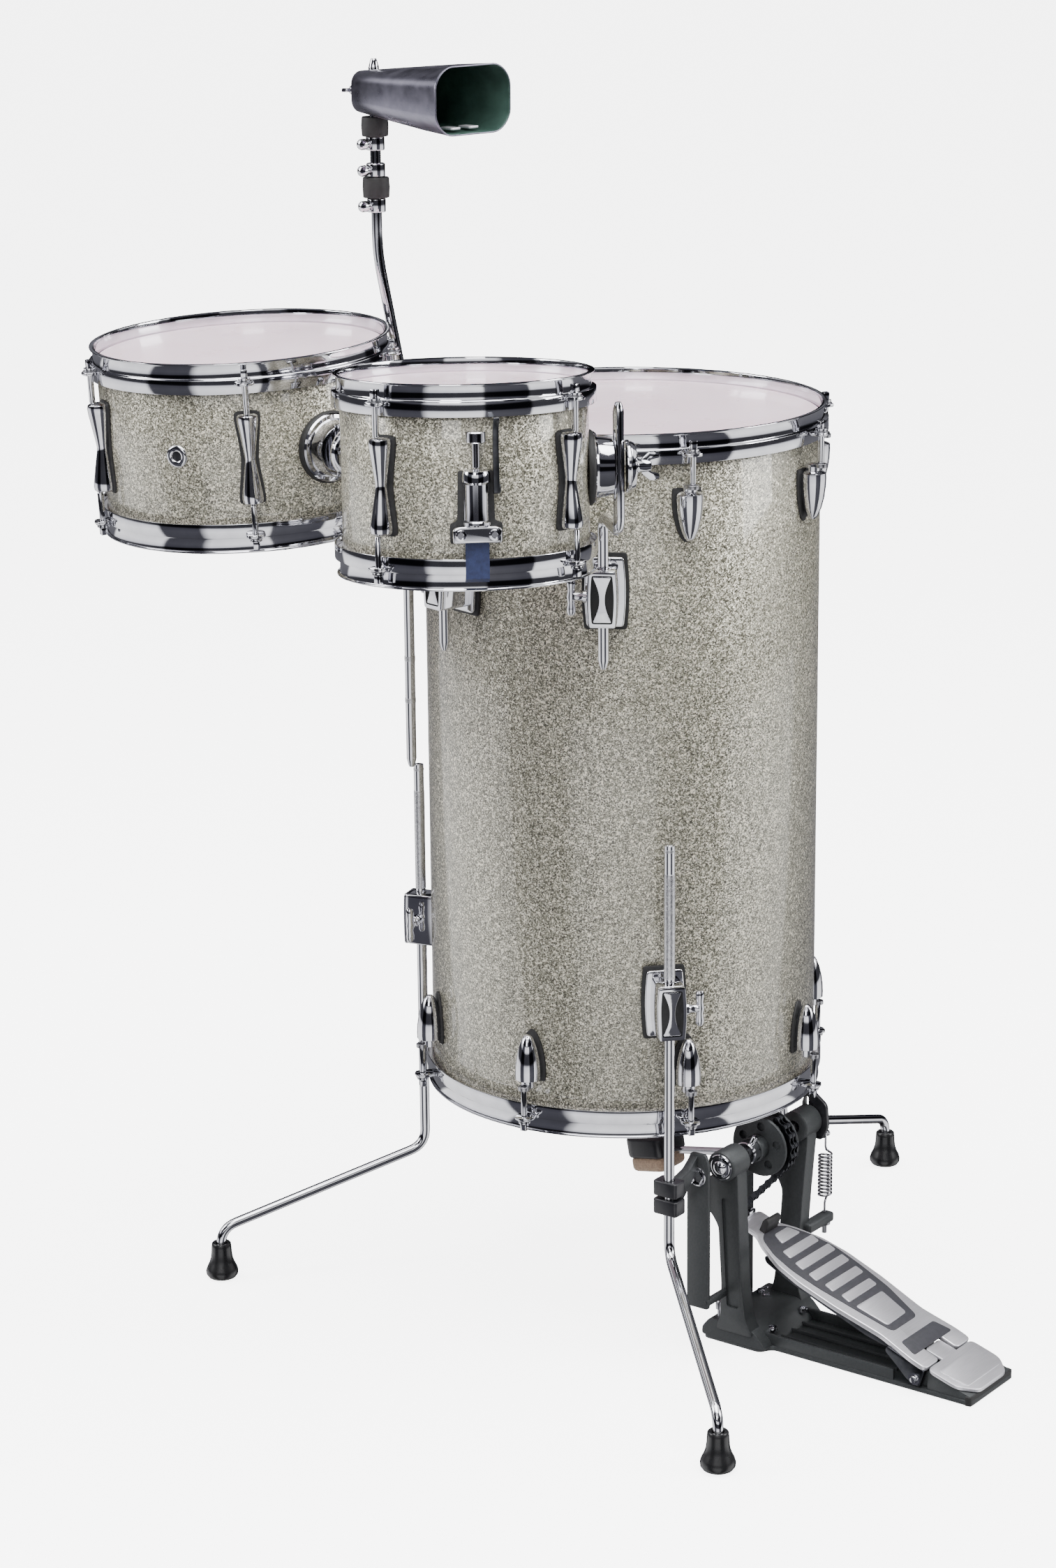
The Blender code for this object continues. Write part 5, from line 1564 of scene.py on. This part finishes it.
def beater():
    centre = KIT.inverted() @ ((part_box("beater")[0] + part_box("beater")[1]) / 2) / MM
    bx, by, bz = centre.x, *BEATER_PLACE
    along = Vector((0, by - SY, bz - SZ)).normalized()
    hub = spindle("beater_hub", (bx - 5.6, SY, SZ), (bx + 5.6, SY, SZ),
                  [(5.2, 0), (10, 0), (11, 1), (11, 10.2), (10, 11.2), (5.2, 11.2), (5.2, 0)], 40)
    start, end = Vector((bx, SY, SZ)) + along * 9, Vector((bx, by, bz)) - along * 12
    stem = stud("beater_stem", tuple(start), tuple(end), 3.6)
    screw = stud("beater_screw", (bx, SY - 4, SZ + 9), (bx, SY - 8, SZ + 17), 2.6)
    lean = Matrix.Translation((bx * MM, by * MM, bz * MM)) @ Matrix.Rotation(asin(along.z), 4, "X")
    top = smooth_corners([(-21.6, -19.6), (21.6, -19.6), (21.6, 21.6), (-21.6, 21.6)], 9, steps=5)
    shell = settle(sawn("beater_shell", top, -3.6, 16.6, "Z", 3.4, 4), lean)
    bottom = smooth_corners([(-19.8, -17.8), (19.8, -17.8), (19.8, 19.8), (-19.8, 19.8)], 8, steps=5)
    cushion = settle(sawn("beater_felt", bottom, -16.8, -2.8, "Z", 4.2, 4), lean)
    on_pedal([shell], PLASTIC, "beater", body="cam_shaft")
    on_pedal([cushion], FELT, body="cam_shaft")
    on_pedal([hub, stem, screw], CHROME, body="cam_shaft")
    print("beater is", round((Vector((by, bz)) - Vector((SY, SZ))).length), "mm from the shaft")


beater()


# %% [markdown]
# ## Return spring
# A helix of twelve turns with a hook at each end. It is given no body, so it stays where it
# is built.

# %% Spring
def return_spring():
    x, y, low, high, turns = 68.0, -182.0, 107.0, 149.0, 12
    helix = [Vector((x + 6 * cos(2 * pi * t / 16), y + 6 * sin(2 * pi * t / 16),
                     low + (high - low) * t / (16 * turns))) for t in range(16 * turns + 1)]
    foot = [Vector((x, y, 90.8)), Vector((x, y, 100)), Vector((x + 2, y, 104)), Vector((x + 5, y, 106))]
    top = [Vector((x + 5, y, 150)), Vector((x + 2, y, 152)), Vector((x, y, 156)), Vector((x, y, 165))]
    wire = rod("return_spring_wire", foot + helix + top, 1.1, 0, 2)
    settle(wire, KIT)
    wire.data.materials.clear()
    wire.data.materials.append(STEEL)
    only(wire)
    bpy.ops.object.shade_smooth_by_angle(angle=radians(60))
    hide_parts("return_spring")
    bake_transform(wire)
    bolt = spindle("spring_tension_rod", (x, y, 70), (x, y, 90),
                   [(0, 0), (2.4, 0), (2.4, 8), (5.4, 8.6), (5.6, 10), (5.6, 16), (5, 17.6), (0, 18)], 32)
    on_pedal([bolt], STEEL)
    print("spring of", turns, "turns")


return_spring()


# %% [markdown]
# ## Leg clamp
# A folded plate beside the pedal reaches up to the front leg, and two split jaws close round
# it with a wing screw. This keeps the pedal under the drum.

# %% Leg clamp
def leg_clamp():
    top = KIT.inverted() @ BRACKET_FRAMES["front_leg"].translation / MM
    plate = sawn("clamp_upright", [(-165.6, 48.4), (-142.4, 48.4), (-142.4, 186), (-146, 197.6),
                                   (-162, 197.6), (-165.6, 186)], -104, -100, "X", 0.8, corner=3)
    foot = block("clamp_foot", (-104, -166, 52), (PX - 56, -160.2, 58), 1.0)
    arm = sawn("clamp_arm", [(-100.5, 197.6), (-100.5, 184.4), (top.x + 8, 156.4), (top.x + 8, 182),
                             (top.x + 24, 186)], -154, -146, "Y", 1.2, corner=2)
    jaws = [sawn("clamp_jaw", [(top.x - 7.4, top.y - 12), (top.x + 9, top.y - 12), (top.x + 9, top.y + 13),
                               (top.x - 7.4, top.y + 13)], low, high, "Z", 1.4, 3, corner=3) for low,
            high in ((151.2, 165.6), (168.4, 182.8))]
    for jaw in jaws:
        cut(jaw, stud("bore", (top.x, top.y, 100), (top.x, top.y, 230), 5.3, 32))
    on_pedal([plate, foot, arm], CASTING, "clamp_plate")
    on_pedal(jaws, PLASTIC)
    bolt = spindle("clamp_hex_bolt", (-104, -154, 176), (-110, -154, 176),
                   [(0, 0), (7.4, 0), (7.6, 1), (7.2, 4.4), (4, 4.8), (0, 4.8)], 6)
    washer = spindle("clamp_washer", (-104, -154, 176), (-106, -154, 176),
                     [(0, 0), (9, 0), (9, 1), (8.4, 1.4), (0, 1.4)], 36)
    on_pedal([bolt, washer], CHROME)
    at = (top.x, top.y + 9, 157.0)
    stem = spindle("clamp_screw", (at[0] + 9.4, at[1], at[2]), (at[0] + 24, at[1], at[2]),
                   [(0, 0), (3.8, 0), (3.8, 8), (5.6, 9), (5.6, 12), (4.4, 16), (0, 16.4)], 28)
    wing = mirrored([(3, 20), (8, 23), (11.6, 28), (9.6, 30.8), (4.6, 28), (0, 26.6)])
    wings = sawn("clamp_wings", [(at[0] + a, at[2] + b) for b, a in wing], at[1] - 1.8, at[1] + 1.8, "Y",
                 0.9, corner=1)
    on_pedal([joined(stem, wings)], CHROME, "leg_clamp_screw", body="leg_clamp_screw")
    print("leg clamp of", 3 + len(jaws), "pieces and its screw")


leg_clamp()

# %% [markdown]
# ## Sizes
# The last call measures the bounds of everything that is shown.

# %% Sizes
low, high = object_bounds()
